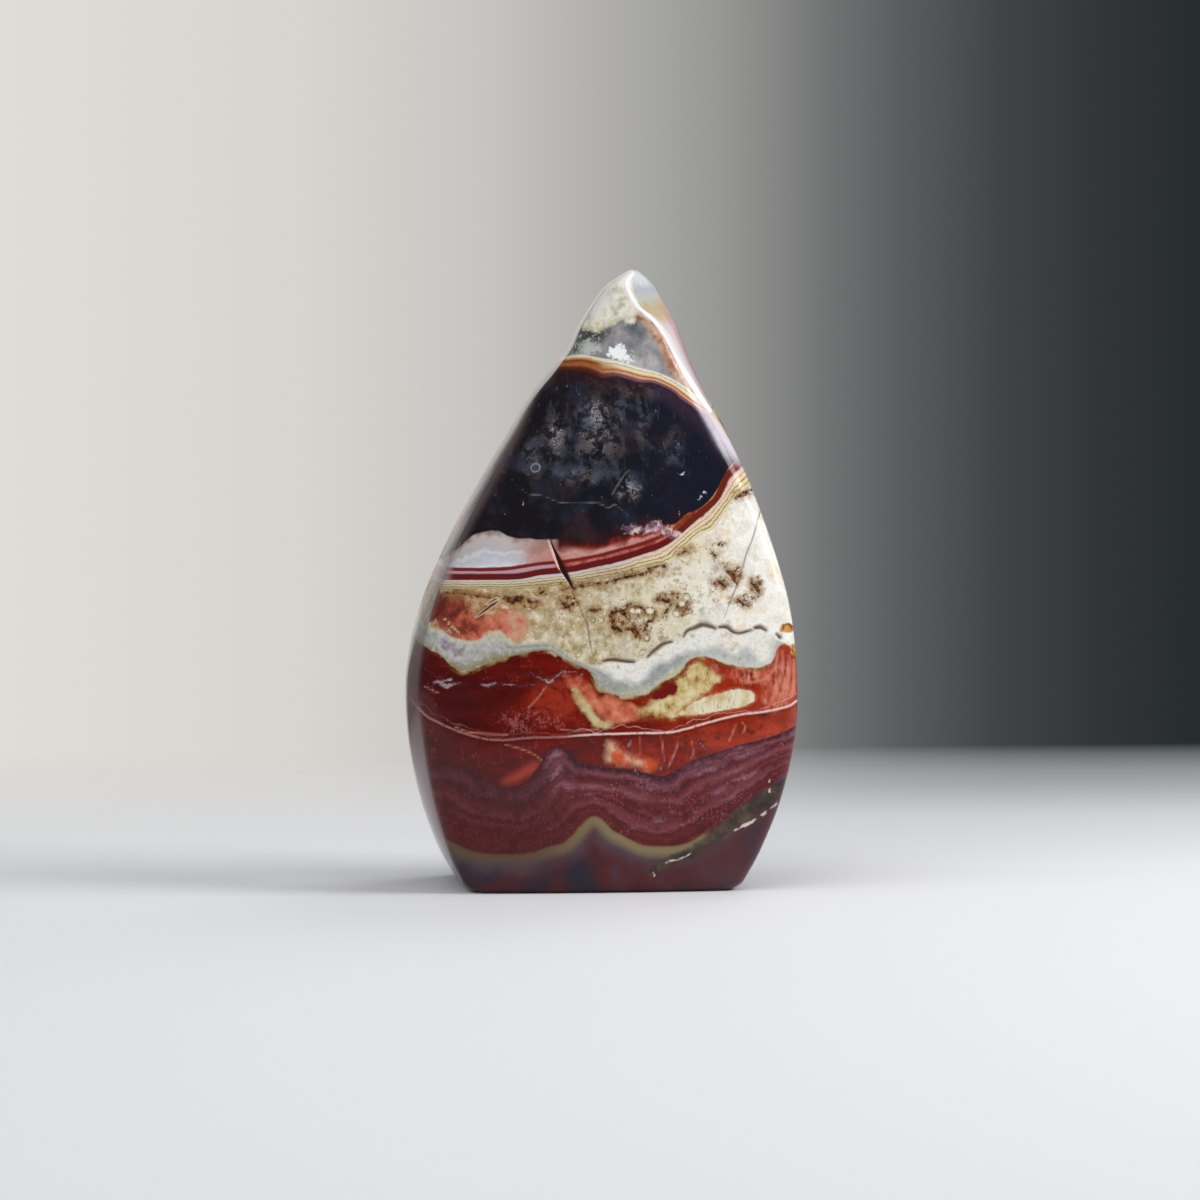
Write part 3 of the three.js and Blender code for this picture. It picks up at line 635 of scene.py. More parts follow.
def strokeDistance(lines, across, up):
    # distance to the edge of the nearest stroke, inside it negative
    best = np.full(len(across), markingReach["far"])
    for points in lines:
        line = smoothThrough(points)
        near = nearby(line, across, up)
        x, z, found = across[near], up[near], best[near]
        for a, b in zip(line[:-1], line[1:]):
            distance, t = segmentDistance(x, z, a, b)
            found = np.minimum(found, distance - a[2] - (b[2] - a[2]) * t)
        best[near] = found
    return best


def patchDistance(outline, across, up):
    # distance to the edge of a closed patch, inside it negative
    line = smoothThrough(outline, closed=True)
    best = np.full(len(across), markingReach["far"])
    near = nearby(line, across, up)
    x, z = across[near], up[near]
    found = np.full(len(x), markingReach["far"])
    inside = np.zeros(len(x), bool)
    for a, b in zip(line, np.roll(line, -1, axis=0)):
        found = np.minimum(found, segmentDistance(x, z, a, b)[0])
        if a[1] != b[1]:
            crosses = (a[1] > z) != (b[1] > z)
            inside ^= crosses & (x < a[0] + (z - a[1]) * (b[0] - a[0]) / (b[1] - a[1]))
    best[near] = np.where(inside, -found, found)
    return best


def spotDistance(places, across, up):
    best = np.full(len(across), markingReach["far"])
    for x, z, wide, high in places:
        share = np.hypot((across - x) / wide, (up - z) / high)
        best = np.minimum(best, (share - 1) * min(wide, high))
    return best


# The dark nodule ends inside the stone, sooner at the left, and its bands wrap round its end
noduleSetup = {
    "depth": 19.0,            # millimetres behind the front where it ends at its middle
    "middle": -10.0,          # millimetres from the stone's middle
    "rise": 0.75,             # millimetres deeper for every millimetre to the right
    "blend": 1.5,
    "leastBand": 0.2,
    "bandReach": 3.0,
}


def smoothMost(a, b, blend):
    return (a + b + np.sqrt((a - b) ** 2 + blend ** 2)) / 2


def shareBetween(fromFirst, toSecond):
    # 0 on the first line and 1 on the second
    first, second = np.maximum(fromFirst, 0), np.maximum(toSecond, 0)
    return first / np.maximum(first + second, 0.05)


def markingFields(points):
    # every distance that the finish reads, at every point of the stone
    across, up, inward = drawingPlace(points)
    fields = {"across": across, "up": up, "inward": inward}
    deeper = np.maximum(0, inward - markingReach["depth"])
    for name, knots in layerLines.items():
        fields[name] = layerDistance(knots, across, up)
    for name, lines in strokes.items():
        fields[name] = strokeDistance(lines, across, up) + deeper
    for name, outline in patches.items():
        fields[name] = patchDistance(outline, across, up) + markingReach["patchFade"] * deeper
    for name, places in spots.items():
        fields[name] = spotDistance(places, across, up) + deeper
    closing = inward - noduleSetup["depth"] - noduleSetup["rise"] * (across - noduleSetup["middle"])
    closing = -smoothMost(-closing, -fields["blackFloor"], noduleSetup["blend"])
    fields["blackTop"] = smoothMost(fields["blackTop"], closing, noduleSetup["blend"])
    bands = np.clip(-fields["stackTop"], noduleSetup["leastBand"], noduleSetup["bandReach"])
    fields["stackShare"] = np.clip(bands / (bands + np.maximum(0, fields["blackTop"])), 0, 1)
    fields["laceShare"] = shareBetween(-fields["thickRedLine"], fields["laceEdge"])
    fields["salmonShare"] = shareBetween(fields["thickRedLine"], -fields["blackFloor"])
    fields["waveShare"] = shareBetween(-fields["waveTop"], fields["waveFloor"])
    fields["burgundyShare"] = shareBetween(-fields["jasperFloor"], fields["oliveLine"])
    return fields


# Real relief in the skin: how deep each kind of mark is cut, in millimetres
reliefSetup = {
    "openCrack": 0.42,
    "thinCrack": 0.12,
    "crustCrack": 0.4,
    "brownMark": 0.16,
    "edgeSpeck": 0.1,
    "edge": 0.16,             # width of the slope at the edge of a mark
    "undulation": 0.02,
    "slowWave": (0.31, 0.17, 1.0),
    "crossWave": (0.37, 0.11, 0.2),
    "fineWave": (0.73, 0.4, 0.61, 0.5),
    "flatBelow": 2,
    "refineWithin": 0.55,     # millimetres round a crack where the mesh is made finer
    "refined": ("openCrack", "crustCrack", "thinCrack", "brownMark"),
}


def refineAround(bm, layers, within):
    # halves the faces that lie close to a crack or pit
    edges = [
        edge for edge in bm.edges
        if min(edge.verts[0][layers], edge.verts[1][layers]) < within
    ]
    bmesh.ops.subdivide_edges(bm, edges=edges, cuts=1, use_grid_fill=True)
    wide = [face for face in bm.faces if len(face.verts) > 4]
    bmesh.ops.triangulate(bm, faces=wide)


def cutDistance(points):
    across, up, inward = drawingPlace(points)
    found = [strokeDistance(strokes[name], across, up) for name in reliefSetup["refined"]]
    return np.minimum.reduce(found) + np.maximum(0, inward - markingReach["depth"])


def readTriples(items, what):
    # places or directions of a mesh's points or faces
    values = np.zeros(len(items) * 3)
    items.foreach_get(what, values)
    return values.reshape(-1, 3)


def relief(points, fields):
    # how far the skin sinks at each point, in millimetres
    x, y, z = points.T
    acrossSlow, upSlow, start = reliefSetup["slowWave"]
    upCross, acrossCross, throughCross = reliefSetup["crossWave"]
    acrossFine, throughFine, upFine, fineness = reliefSetup["fineWave"]
    sunk = reliefSetup["undulation"] * (
        np.sin(x * acrossSlow + z * upSlow + start) + np.sin(z * upCross - x * acrossCross + y * throughCross)
        + fineness * np.sin(x * acrossFine + y * throughFine) * np.sin(z * upFine)
    )
    for name in ("openCrack", "thinCrack", "crustCrack", "brownMark", "edgeSpeck"):
        edge = np.clip(-fields[name] / reliefSetup["edge"] + 0.5, 0, 1)
        sunk = sunk + reliefSetup[name] * edge * edge * (3 - 2 * edge)
    return sunk * np.clip(z / reliefSetup["flatBelow"], 0, 1)


# Where each side of the stone lies on its map: its lower left corner and how much of the map a millimetre takes
mapLayout = {
    "front": {"corner": (0.008, 0.008), "scale": 0.01215},
    "back": {"corner": (0.645, 0.44), "scale": 0.0068},
    "wall": {"corner": (0.645, 0.01), "scale": (0.0061, 0.0051)},
    "base": {"corner": (0.012, 0.9), "scale": 0.0034},
    "halfWide": 25.4,         # millimetres from the middle to the side of the front and back
    "baseMiddle": (22, 14),
    "leftWall": 14.5,
    "rightWall": 43.5,
    "looksDown": -0.93,       # how squarely a face must look down to lie with the base
    "looksAlong": 0.6,        # and forwards or backwards to lie with the front or back
}


def layMap(mesh):
    # each face goes on the map by the way it looks
    layer = mesh.uv_layers.new(name="OFBake")
    loops = np.zeros(len(mesh.loops), int)
    mesh.loops.foreach_get("vertex_index", loops)
    points = readTriples(mesh.vertices, "co") / mm
    sizes = np.zeros(len(mesh.polygons), int)
    mesh.polygons.foreach_get("loop_total", sizes)
    way = np.repeat(readTriples(mesh.polygons, "normal"), sizes, axis=0)
    x, y, z = points[loops].T
    flat = np.zeros((len(loops), 2))
    sides = {
        "base": way[:, 2] < mapLayout["looksDown"],
        "front": way[:, 1] < -mapLayout["looksAlong"],
        "back": way[:, 1] > mapLayout["looksAlong"],
    }
    taken = np.zeros(len(loops), bool)
    for name, chosen in sides.items():
        chosen = chosen & ~taken
        taken |= chosen
        (u0, v0), scale = mapLayout[name]["corner"], mapLayout[name]["scale"]
        if name == "base":
            aside, ahead = mapLayout["baseMiddle"]
            flat[chosen] = np.stack([u0 + (x + aside) * scale, v0 + (y + ahead) * scale], 1)[chosen]
        else:
            side = x if name == "front" else -x
            flat[chosen] = np.stack([u0 + (side + mapLayout["halfWide"]) * scale, v0 + z * scale], 1)[chosen]
    (u0, v0), (scaleU, scaleV) = mapLayout["wall"]["corner"], mapLayout["wall"]["scale"]
    along = np.where(way[:, 0] < 0, mapLayout["leftWall"] - y, mapLayout["rightWall"] + y)
    flat[~taken] = np.stack([u0 + along * scaleU, v0 + z * scaleV], 1)[~taken]
    layer.data.foreach_set("uv", flat.ravel())


def makeStone():
    points, faces = stoneMesh()
    mesh = bpy.data.meshes.new("agate_skin")
    mesh.from_pydata((points * mm).tolist(), [], faces)
    near = mesh.attributes.new("near", "FLOAT", "POINT")
    near.data.foreach_set("value", cutDistance(points).astype(np.float32))
    bm = bmesh.new()
    bm.from_mesh(mesh)
    refineAround(bm, bm.verts.layers.float["near"], reliefSetup["refineWithin"])
    bm.to_mesh(mesh)
    bm.free()
    mesh.attributes.remove(mesh.attributes["near"])
    mesh.update()
    points = readTriples(mesh.vertices, "co") / mm
    fields = markingFields(points)
    moved = points - readTriples(mesh.vertices, "normal") * relief(points, fields)[:, None]
    mesh.vertices.foreach_set("co", (moved * mm).ravel())
    mesh.update()
    for name, values in fields.items():
        field = mesh.attributes.new(name, "FLOAT", "POINT")
        field.data.foreach_set("value", values.astype(np.float32))
    mesh.shade_smooth()
    layMap(mesh)
    stone = bpy.data.objects.new("agate_skin", mesh)
    bpy.context.scene.collection.objects.link(stone)
    print("stone:", len(mesh.vertices), "points,", len(mesh.polygons), "faces")
    return stone


stone = makeStone()


def tint(red, green, blue):
    # a colour given as on a screen, 0 to 255, in the even values that the finish works with
    shares = [c / 255 for c in (red, green, blue)]
    return [c / 12.92 if c <= 0.04045 else ((c + 0.055) / 1.055) ** 2.4 for c in shares] + [1.0]


class Wire:
    # a value running between the nodes of a finish, so that sums read as ordinary arithmetic
    def __init__(self, bench, socket):
        self.bench, self.socket = bench, socket

    def __add__(self, other):
        return self.bench.calc("ADD", self, other)

    def __radd__(self, other):
        return self.bench.calc("ADD", other, self)

    def __sub__(self, other):
        return self.bench.calc("SUBTRACT", self, other)

    def __rsub__(self, other):
        return self.bench.calc("SUBTRACT", other, self)

    def __mul__(self, other):
        return self.bench.calc("MULTIPLY", self, other)

    def __rmul__(self, other):
        return self.bench.calc("MULTIPLY", other, self)

    def __neg__(self):
        return self.bench.calc("MULTIPLY", self, -1.0)


class Bench:
    # lays the nodes of one finish
    def __init__(self, name):
        self.material = bpy.data.materials.new(name)
        self.material.use_nodes = True
        self.tree = self.material.node_tree
        self.shader = self.tree.nodes["Principled BSDF"]
        self.known = {}
        self.layers = 0

    def newLayer(self):
        # every layer has a grain of its own
        self.known = {}
        self.layers += 1

    def node(self, kind, **settings):
        made = self.tree.nodes.new(kind)
        for key, value in settings.items():
            setattr(made, key, value)
        return made

    def plug(self, socket, value):
        if isinstance(value, Wire):
            self.tree.links.new(value.socket, socket)
        else:
            socket.default_value = value

    def calc(self, operation, *values):
        made = self.node("ShaderNodeMath", operation=operation)
        for socket, value in zip(made.inputs, values):
            self.plug(socket, value)
        return Wire(self, made.outputs[0])

    def field(self, name):
        if name not in self.known:
            made = self.node("ShaderNodeAttribute", attribute_name=name)
            self.known[name] = Wire(self, made.outputs["Fac"])
        return self.known[name]

    def places(self, stretch=(1.0, 1.0, 1.0)):
        # where a point lies in the stone, in millimetres, drawn together along some directions
        if stretch not in self.known:
            coordinates = self.node("ShaderNodeTexCoord")
            scaled = self.node("ShaderNodeMapping")
            self.tree.links.new(coordinates.outputs["Object"], scaled.inputs["Vector"])
            scaled.inputs["Scale"].default_value = [1000 * s for s in stretch]
            self.known[stretch] = Wire(self, scaled.outputs["Vector"])
        return self.known[stretch]

    def noise(self, scale, detail=2.0, rough=0.5, stretch=(1.0, 1.0, 1.0)):
        key = ("noise", scale, detail, rough, stretch)
        if key not in self.known:
            made = self.node("ShaderNodeTexNoise")
            self.plug(made.inputs["Vector"], self.places(stretch))
            made.inputs["Scale"].default_value = scale * (1 + 0.013 * self.layers)
            made.inputs["Detail"].default_value = detail
            made.inputs["Roughness"].default_value = rough
            self.known[key] = Wire(self, made.outputs["Fac"])
        return self.known[key]

    def stray(self, amount, *grain):
        # a noise that goes to both sides of 0
        return (self.noise(*grain) - 0.5) * amount

    def cells(self, scale):
        # distance to the nearest of many scattered points
        made = self.node("ShaderNodeTexVoronoi")
        self.plug(made.inputs["Vector"], self.places())
        made.inputs["Scale"].default_value = scale
        return Wire(self, made.outputs["Distance"])

    def step(self, value, start, end):
        # rises smoothly from 0 at the start to 1 at the end
        made = self.node("ShaderNodeMapRange", interpolation_type="SMOOTHSTEP", clamp=False)
        self.plug(made.inputs["Value"], value)
        made.inputs["From Min"].default_value = start
        made.inputs["From Max"].default_value = end
        return Wire(self, made.outputs["Result"])

    def line(self, value, middle, half, soft):
        # 1 within half a width of the middle, 0 outside
        return self.step(self.calc("ABSOLUTE", value - middle), half + soft, half - soft)

    def mix(self, amount, low, high):
        made = self.node("ShaderNodeMix", data_type="RGBA")
        self.plug(made.inputs[0], amount)
        self.plug(made.inputs[6], low)
        self.plug(made.inputs[7], high)
        return Wire(self, made.outputs[2])

    def ramp(self, value, stops, asColor=tint):
        # runs through the stops, each a place from 0 to 1 and its colour
        made = self.node("ShaderNodeValToRGB")
        self.plug(made.inputs[0], value)
        elements = made.color_ramp.elements
        while len(elements) < len(stops):
            elements.new(0.5)
        for element, (at, *color) in zip(elements, stops):
            element.position, element.color = at, asColor(*color)
        return Wire(self, made.outputs[0])

    def shade(self, color, amount):
        # the colour made lighter or darker by an amount
        made = self.node("ShaderNodeMix", data_type="RGBA", blend_type="MULTIPLY")
        made.inputs[0].default_value = 1.0
        self.plug(made.inputs[6], color)
        grey = self.node("ShaderNodeCombineColor")
        for socket in grey.inputs:
            self.plug(socket, amount)
        self.tree.links.new(grey.outputs[0], made.inputs[7])
        return Wire(self, made.outputs[2])


def baseLayer(b):
    # maroon with a grey haze under the olive line
    b.newLayer()
    across = b.field("across")
    cloud = b.noise(0.17, 3.0)
    paint = b.ramp(cloud, [
        (0.34, 38, 32, 48), (0.43, 54, 30, 40), (0.5, 76, 26, 30), (0.57, 82, 34, 38), (0.66, 66, 52, 72),
    ])
    haze = b.step(b.field("oliveLine") + b.stray(3.0, 0.3, 2.0), -3.4, -0.4)
    paint = b.mix(haze * 0.75, paint, tint(84, 68, 76))
    return b.mix(b.step(across, 6.0, 15.0) * 0.5, paint, tint(84, 50, 56))


def burgundyLayer(b, wobble):
    # wine-coloured bands that follow the jasper above them, with mauve dust
    b.newLayer()
    across = b.field("across")
    drift = b.stray(0.2, 0.3, 3.0) + b.stray(0.09, 1.1, 4.0, 0.6)
    share = b.field("burgundyShare") + wobble * 0.05 + drift
    bands = b.ramp(share, [
        (0.0, 58, 18, 28), (0.05, 54, 18, 30), (0.1, 94, 42, 54), (0.14, 122, 66, 78), (0.2, 96, 32, 38),
        (0.25, 68, 13, 18), (0.3, 100, 29, 33), (0.37, 120, 58, 66), (0.43, 102, 29, 33),
        (0.49, 90, 19, 20), (0.54, 112, 38, 40), (0.57, 80, 14, 17), (0.66, 108, 40, 44),
        (0.73, 114, 50, 56), (0.77, 78, 14, 16), (0.84, 98, 24, 26), (0.9, 84, 16, 18), (0.96, 100, 30, 30),
        (1.0, 74, 20, 22),
    ])
    leftBands = b.ramp(share, [
        (0.0, 58, 17, 23), (0.06, 72, 26, 34), (0.16, 84, 36, 44), (0.24, 66, 16, 20), (0.33, 80, 22, 26),
        (0.43, 90, 36, 42), (0.5, 72, 14, 17), (0.57, 84, 28, 34), (0.64, 76, 13, 14), (0.85, 82, 15, 15),
        (1.0, 70, 20, 19),
    ])
    paint = b.mix(b.step(across, -9.0, -1.0), leftBands, bands)
    grain = b.noise(3.4, 3.0, 0.6)
    paint = b.shade(paint, 0.8 + grain * 0.4)
    blots = b.noise(0.6, 3.0, 0.56)
    paint = b.mix(b.step(blots, 0.47, 0.36) * 0.6, paint, tint(66, 12, 14))
    glow = b.step(b.field("mauveGlow") + (blots - 0.5) * 4.0, 0.6, -1.6)
    arcs = b.step(b.calc("SINE", share * 36.0), -0.3, 0.8) * 0.7 + 0.2
    paint = b.mix(glow * arcs * b.step(grain, 0.2, 0.56), paint, tint(152, 98, 114))
    dust = b.step(grain, 0.54, 0.66) * b.step(blots + b.stray(0.6, 0.22, 2.0), 0.5, 0.62)
    paint = b.mix(dust * b.step(across, -16.0, 4.0) * 0.45, paint, tint(164, 112, 124))
    return b.mix(b.line(blots, 0.5, 0.004, 0.006) * 0.5, paint, tint(132, 66, 72))


def oliveSeam(b, paint, wobble):
    # the olive line between burgundy and base, hazy at the left, and the green-black streak that ends it
    b.newLayer()
    across = b.field("across")
    seam = b.field("oliveLine") + wobble * 0.35
    olive = b.mix(b.step(across, -10.0, 2.0), tint(94, 72, 50), tint(136, 120, 84))
    soft = b.step(seam, 0.65, 0.2) * b.step(seam, -1.5, -0.1)
    paint = b.mix(soft * b.step(across, 14.2, 12.6) * 0.9, paint, olive)
    streak = b.field("greenStreak") + b.stray(1.2, 1.1, 3.0)
    green = b.ramp(b.noise(0.36, 4.0, 0.6), [
        (0.38, 46, 32, 34), (0.5, 64, 52, 44), (0.64, 92, 84, 62),
    ])
    return b.mix(b.step(streak, 0.45, -0.25) * 0.92, paint, green)


def jasperLayer(b, wobble):
    # red jasper, dark wine at the left and bright at the right
    b.newLayer()
    across = b.field("across")
    cloud = b.noise(0.16, 5.0, 0.6)
    streaks = b.noise(0.5, 4.0, 0.6, (0.3, 0.3, 1.0))
    blots = b.noise(0.7, 3.0, 0.56)
    paint = b.ramp((across + 26.0) * (1 / 52) + (cloud - 0.5) * 0.6, [
        (0.0, 66, 18, 20), (0.2, 86, 16, 12), (0.42, 106, 16, 8), (0.6, 120, 22, 7), (0.78, 148, 38, 14),
        (0.95, 172, 60, 38),
    ])
    paint = b.shade(paint, b.step(streaks, 0.3, 0.62) * 0.45 + 0.66)
    redder = b.step(b.field("redGlow") + b.stray(3.0, 0.5, 3.0), 0.8, -1.6)
    paint = b.mix(redder * 0.75, paint, tint(172, 58, 38))
    glow = b.step(b.field("glow") + (blots - 0.5) * 4.5, 0.6, -2.6)
    paint = b.mix(glow * 0.7, paint, b.mix(b.step(across, -4.0, 3.0), tint(140, 36, 16), tint(188, 64, 22)))
    paint = b.mix(b.step(blots, 0.46, 0.35) * 0.65, paint, tint(74, 14, 16))
    paint = b.mix(b.line(streaks, 0.5, 0.006, 0.012) * 0.55, paint, tint(58, 14, 14))
    paint = b.mix(b.line(cloud, 0.53, 0.003, 0.005) * 0.3, paint, tint(176, 86, 68))
    dusted = b.step(b.field("druse") + b.stray(3.0, 0.9, 3.0), 0.5, -0.6)
    dusted = dusted * b.step(b.noise(2.4, 3.0, 0.6), 0.44, 0.6)
    paint = b.mix(dusted * 0.6, paint, tint(176, 96, 90))
    wedge = b.step(b.field("salmonWedge") + wobble * 0.6, 0.5, -1.3)
    paint = b.mix(wedge * 0.9, paint, tint(172, 66, 48))
    spot = b.field("orangeSpot") + wobble * 1.4
    warmth = cloud + (blots - 0.5) * 0.8 + (across - 4.0) * 0.035
    paint = b.mix(b.step(spot, 0.6, -0.9), paint, b.ramp(warmth, [
        (0.42, 218, 174, 146), (0.53, 208, 126, 92), (0.63, 204, 82, 38),
    ]))
    fans = b.step(b.field("blush") + b.stray(3.0, 0.7, 4.0, 0.6), 0.5, -0.6)
    combed = b.noise(1.5, 3.0, 0.6, (1.0, 1.0, 0.28))
    paint = b.mix(fans * b.step(combed, 0.36, 0.56) * 0.8, paint, b.ramp(b.noise(0.6, 3.0), [
        (0.4, 206, 104, 82), (0.6, 224, 146, 118),
    ]))
    paint = b.mix(fans * b.line(combed, 0.47, 0.012, 0.014) * 0.6, paint, tint(120, 34, 28))
    mottle = b.noise(0.6, 4.0, 0.56)
    peach = b.field("peachPatch") + wobble * 1.1
    body = b.ramp(mottle + (across - 1.0) * 0.02, [
        (0.3, 160, 66, 46), (0.42, 190, 96, 68), (0.54, 206, 118, 90), (0.7, 218, 148, 118),
    ])
    paint = b.mix(b.step(peach, 0.25, -0.6), paint, body)
    ribbon = b.step(b.field("yellowRibbon") + wobble * 1.2 + (mottle - 0.5) * 1.2, 0.5, -0.35)
    paint = b.mix(ribbon * 0.85, paint, b.ramp(mottle, [(0.36, 184, 150, 92), (0.54, 214, 200, 148)]))
    yellow = b.field("yellowPatch") + wobble * 1.9
    paint = b.mix(b.step(yellow, 0.9, -0.1) * 0.5, paint, tint(160, 92, 48))
    paint = b.mix(b.step(yellow, 0.4, -0.5), paint, b.ramp(mottle + (combed - 0.5) * 0.35, [
        (0.3, 150, 104, 56), (0.42, 190, 162, 100), (0.52, 210, 190, 136), (0.66, 226, 212, 170),
    ]))
    pale = b.field("paleYellow") + wobble * 0.8
    paint = b.mix(b.step(pale, 0.5, 0.0) * 0.5, paint, tint(198, 116, 72))
    paint = b.mix(b.step(pale, 0.12, -0.16), paint, b.ramp(b.noise(0.5, 3.0) + (mottle - 0.5) * 0.4, [
        (0.36, 206, 180, 130), (0.58, 228, 220, 190),
    ]))
    slants = b.line(b.noise(0.8, 2.0, 0.5, (1.0, 1.0, 0.4)), 0.5, 0.006, 0.01) * b.step(across, 5.0, 9.0)
    paint = b.mix(slants * 0.6, paint, tint(116, 50, 30))
    return b.mix(b.step(b.field("redSpot") + wobble * 1.1, 0.2, -0.2), paint, tint(112, 22, 21))


def waveLayer(b, wobble):
    # the translucent grey layer and the white crust above its right part
    b.newLayer()
    across = b.field("across")
    cloud = b.noise(0.4, 5.0, 0.62)
    share = b.field("waveShare") + wobble * 0.3 + (cloud - 0.5) * 0.6
    left = b.ramp(share, [
        (0.0, 198, 190, 164), (0.18, 178, 178, 158), (0.4, 146, 150, 142), (0.55, 174, 172, 166),
        (0.78, 152, 150, 134), (1.0, 140, 126, 84),
    ])
    right = b.ramp(share, [
        (0.0, 232, 228, 218), (0.2, 204, 204, 198), (0.45, 160, 164, 160), (0.7, 152, 158, 154),
        (0.9, 184, 184, 172), (1.0, 192, 182, 144),
    ])
    paint = b.mix(b.step(across, -6.0, 8.0), left, right)
    paint = b.mix(b.step(across, 10.0, 16.0) * 0.4, paint, tint(222, 220, 216))
    lilac = b.field("lilac") + b.stray(3.2, 0.7, 4.0, 0.6)
    paint = b.mix(b.step(lilac, 0.6, -0.3) * 0.8, paint, tint(196, 192, 190))
    paint = b.mix(b.step(lilac, 0.1, -0.8) * 0.8, paint, b.ramp(b.noise(1.2, 3.0), [
        (0.4, 120, 104, 114), (0.6, 164, 152, 162),
    ]))
    motes = b.noise(1.9, 4.0, 0.6)
    paint = b.mix(b.step(motes, 0.54, 0.68) * 0.5, paint, tint(214, 212, 202))
    paint = b.mix(b.step(motes, 0.44, 0.34) * 0.4, paint, tint(116, 120, 118))
    crust = b.field("crustFloor") + wobble * 1.3
    here = b.step(across + wobble, -1.9, -1.0)
    paint = b.mix(b.step(crust, -0.7, 0.0) * here * 0.7, paint, tint(220, 218, 214))
    flakes = b.ramp(b.noise(0.9, 5.0, 0.62) + wobble * 0.1, [
        (0.3, 196, 178, 150), (0.4, 222, 214, 196), (0.52, 240, 237, 230), (0.62, 218, 216, 210),
    ])
    return b.mix(b.step(crust, -0.1, 0.3) * here * 0.96, paint, flakes)


def matrixLayer(b, wobble):
    # cream stone with brown moss, tan at the left and nearly white at the right, the whitening partly its own
    # tone and partly painted light from the right
    b.newLayer()
    across, up = b.field("across"), b.field("up")
    cloud = b.noise(0.22, 5.0, 0.62)
    # lighter towards the right: partly the stone's own tone, partly painted light falling from the right
    paint = b.ramp((across + 26.0) * (1 / 52) + (cloud - 0.5) * 0.5, [
        (0.2, 178, 156, 120), (0.42, 192, 174, 138), (0.56, 206, 194, 162), (0.7, 228, 220, 198),
        (0.82, 248, 245, 237), (0.95, 250, 247, 238),
    ])
    mottle = b.noise(0.75, 5.0, 0.66)
    fade = b.step(across, 24.0, 6.0)
    paint = b.mix(b.step(mottle, 0.49, 0.38) * fade * 0.75, paint, tint(150, 128, 84))
    paint = b.mix(b.step(mottle, 0.5, 0.62) * 0.7, paint, tint(232, 222, 202))
    warm = b.step(b.noise(0.3, 4.0, 0.6), 0.5, 0.66)
    tan = b.mix(b.step(across, 6.0, 14.0), tint(176, 142, 86), tint(228, 196, 150))
    paint = b.mix(warm * 0.45, paint, tan)
    cool = b.step(b.noise(0.26, 3.0, 0.6), 0.5, 0.38) * b.step(across, -4.0, 6.0)
    paint = b.mix(cool * 0.4, paint, tint(206, 204, 200))
    grain = b.noise(3.2, 4.0, 0.66)
    paint = b.shade(paint, 0.74 + grain * 0.5)
    mossy = b.step(b.noise(0.45, 4.0, 0.6), 0.48, 0.62)
    specks = b.step(grain, 0.56, 0.66) * mossy
    paint = b.mix(specks * (1.0 - b.step(across, 12.0, 20.0) * 0.6), paint, tint(112, 76, 42))
    dots = b.step(b.cells(1.15) + (grain - 0.5) * 0.5, 0.2, 0.08)
    paint = b.mix(dots * b.step(mottle, 0.42, 0.52) * 0.75, paint, tint(246, 240, 224))
    feather = b.noise(1.2, 5.0, 0.66, (1.0, 1.0, 0.4))
    combed = b.step(feather, 0.52, 0.62) * b.step(b.field("waveTop"), 5.0, 0.5) * b.step(across, 8.0, 2.0)
    paint = b.mix(combed * 0.45, paint, tint(214, 206, 184))
    patch = b.field("salmonPatch") + wobble * 1.6 + (mottle - 0.5) * 2.0
    salmon = b.ramp(b.noise(0.42, 5.0, 0.64) + (across + 17.0) * 0.03 + (34.6 - up) * 0.035, [
        (0.3, 98, 38, 30), (0.44, 140, 62, 46), (0.54, 178, 92, 68), (0.66, 200, 120, 96),
        (0.8, 200, 156, 126),
    ])
    paint = b.mix(b.step(patch, 0.7, -0.3), paint, b.shade(salmon, 0.76 + grain * 0.46))
    window = b.step(b.field("tanWindow") + (mottle - 0.5) * 2.6, 0.4, -0.5)
    return b.mix(window * 0.8, paint, b.ramp(b.noise(1.4, 4.0, 0.6), [
        (0.4, 166, 122, 84), (0.56, 200, 172, 134),
    ]))


def laceLayer(b, wobble):
    # thin wavy lines between the thick red line and the cream stone
    b.newLayer()
    across = b.field("across")
    share = b.field("laceShare") + wobble * 0.18 + b.stray(0.16, 1.6, 2.0)
    left = b.ramp(share, [
        (0.0, 110, 40, 36), (0.17, 112, 44, 40), (0.24, 198, 188, 190), (0.38, 204, 194, 188),
        (0.43, 150, 126, 104), (0.47, 206, 194, 164), (0.55, 210, 198, 166), (0.605, 118, 94, 62),
        (0.66, 204, 190, 152), (0.74, 196, 180, 142), (0.79, 112, 88, 56), (0.85, 190, 172, 134),
        (1.0, 160, 138, 100),
    ])
    right = b.ramp(share, [
        (0.0, 128, 40, 30), (0.12, 150, 66, 56), (0.2, 214, 186, 172), (0.34, 226, 208, 188),
        (0.39, 196, 120, 82), (0.44, 226, 206, 176), (0.55, 224, 208, 170), (0.605, 136, 106, 64),
        (0.66, 226, 212, 176), (0.75, 214, 196, 146), (0.8, 146, 116, 68), (0.86, 226, 212, 172),
        (1.0, 214, 200, 166),
    ])
    return b.mix(b.step(across, 0.0, 9.0), left, right)


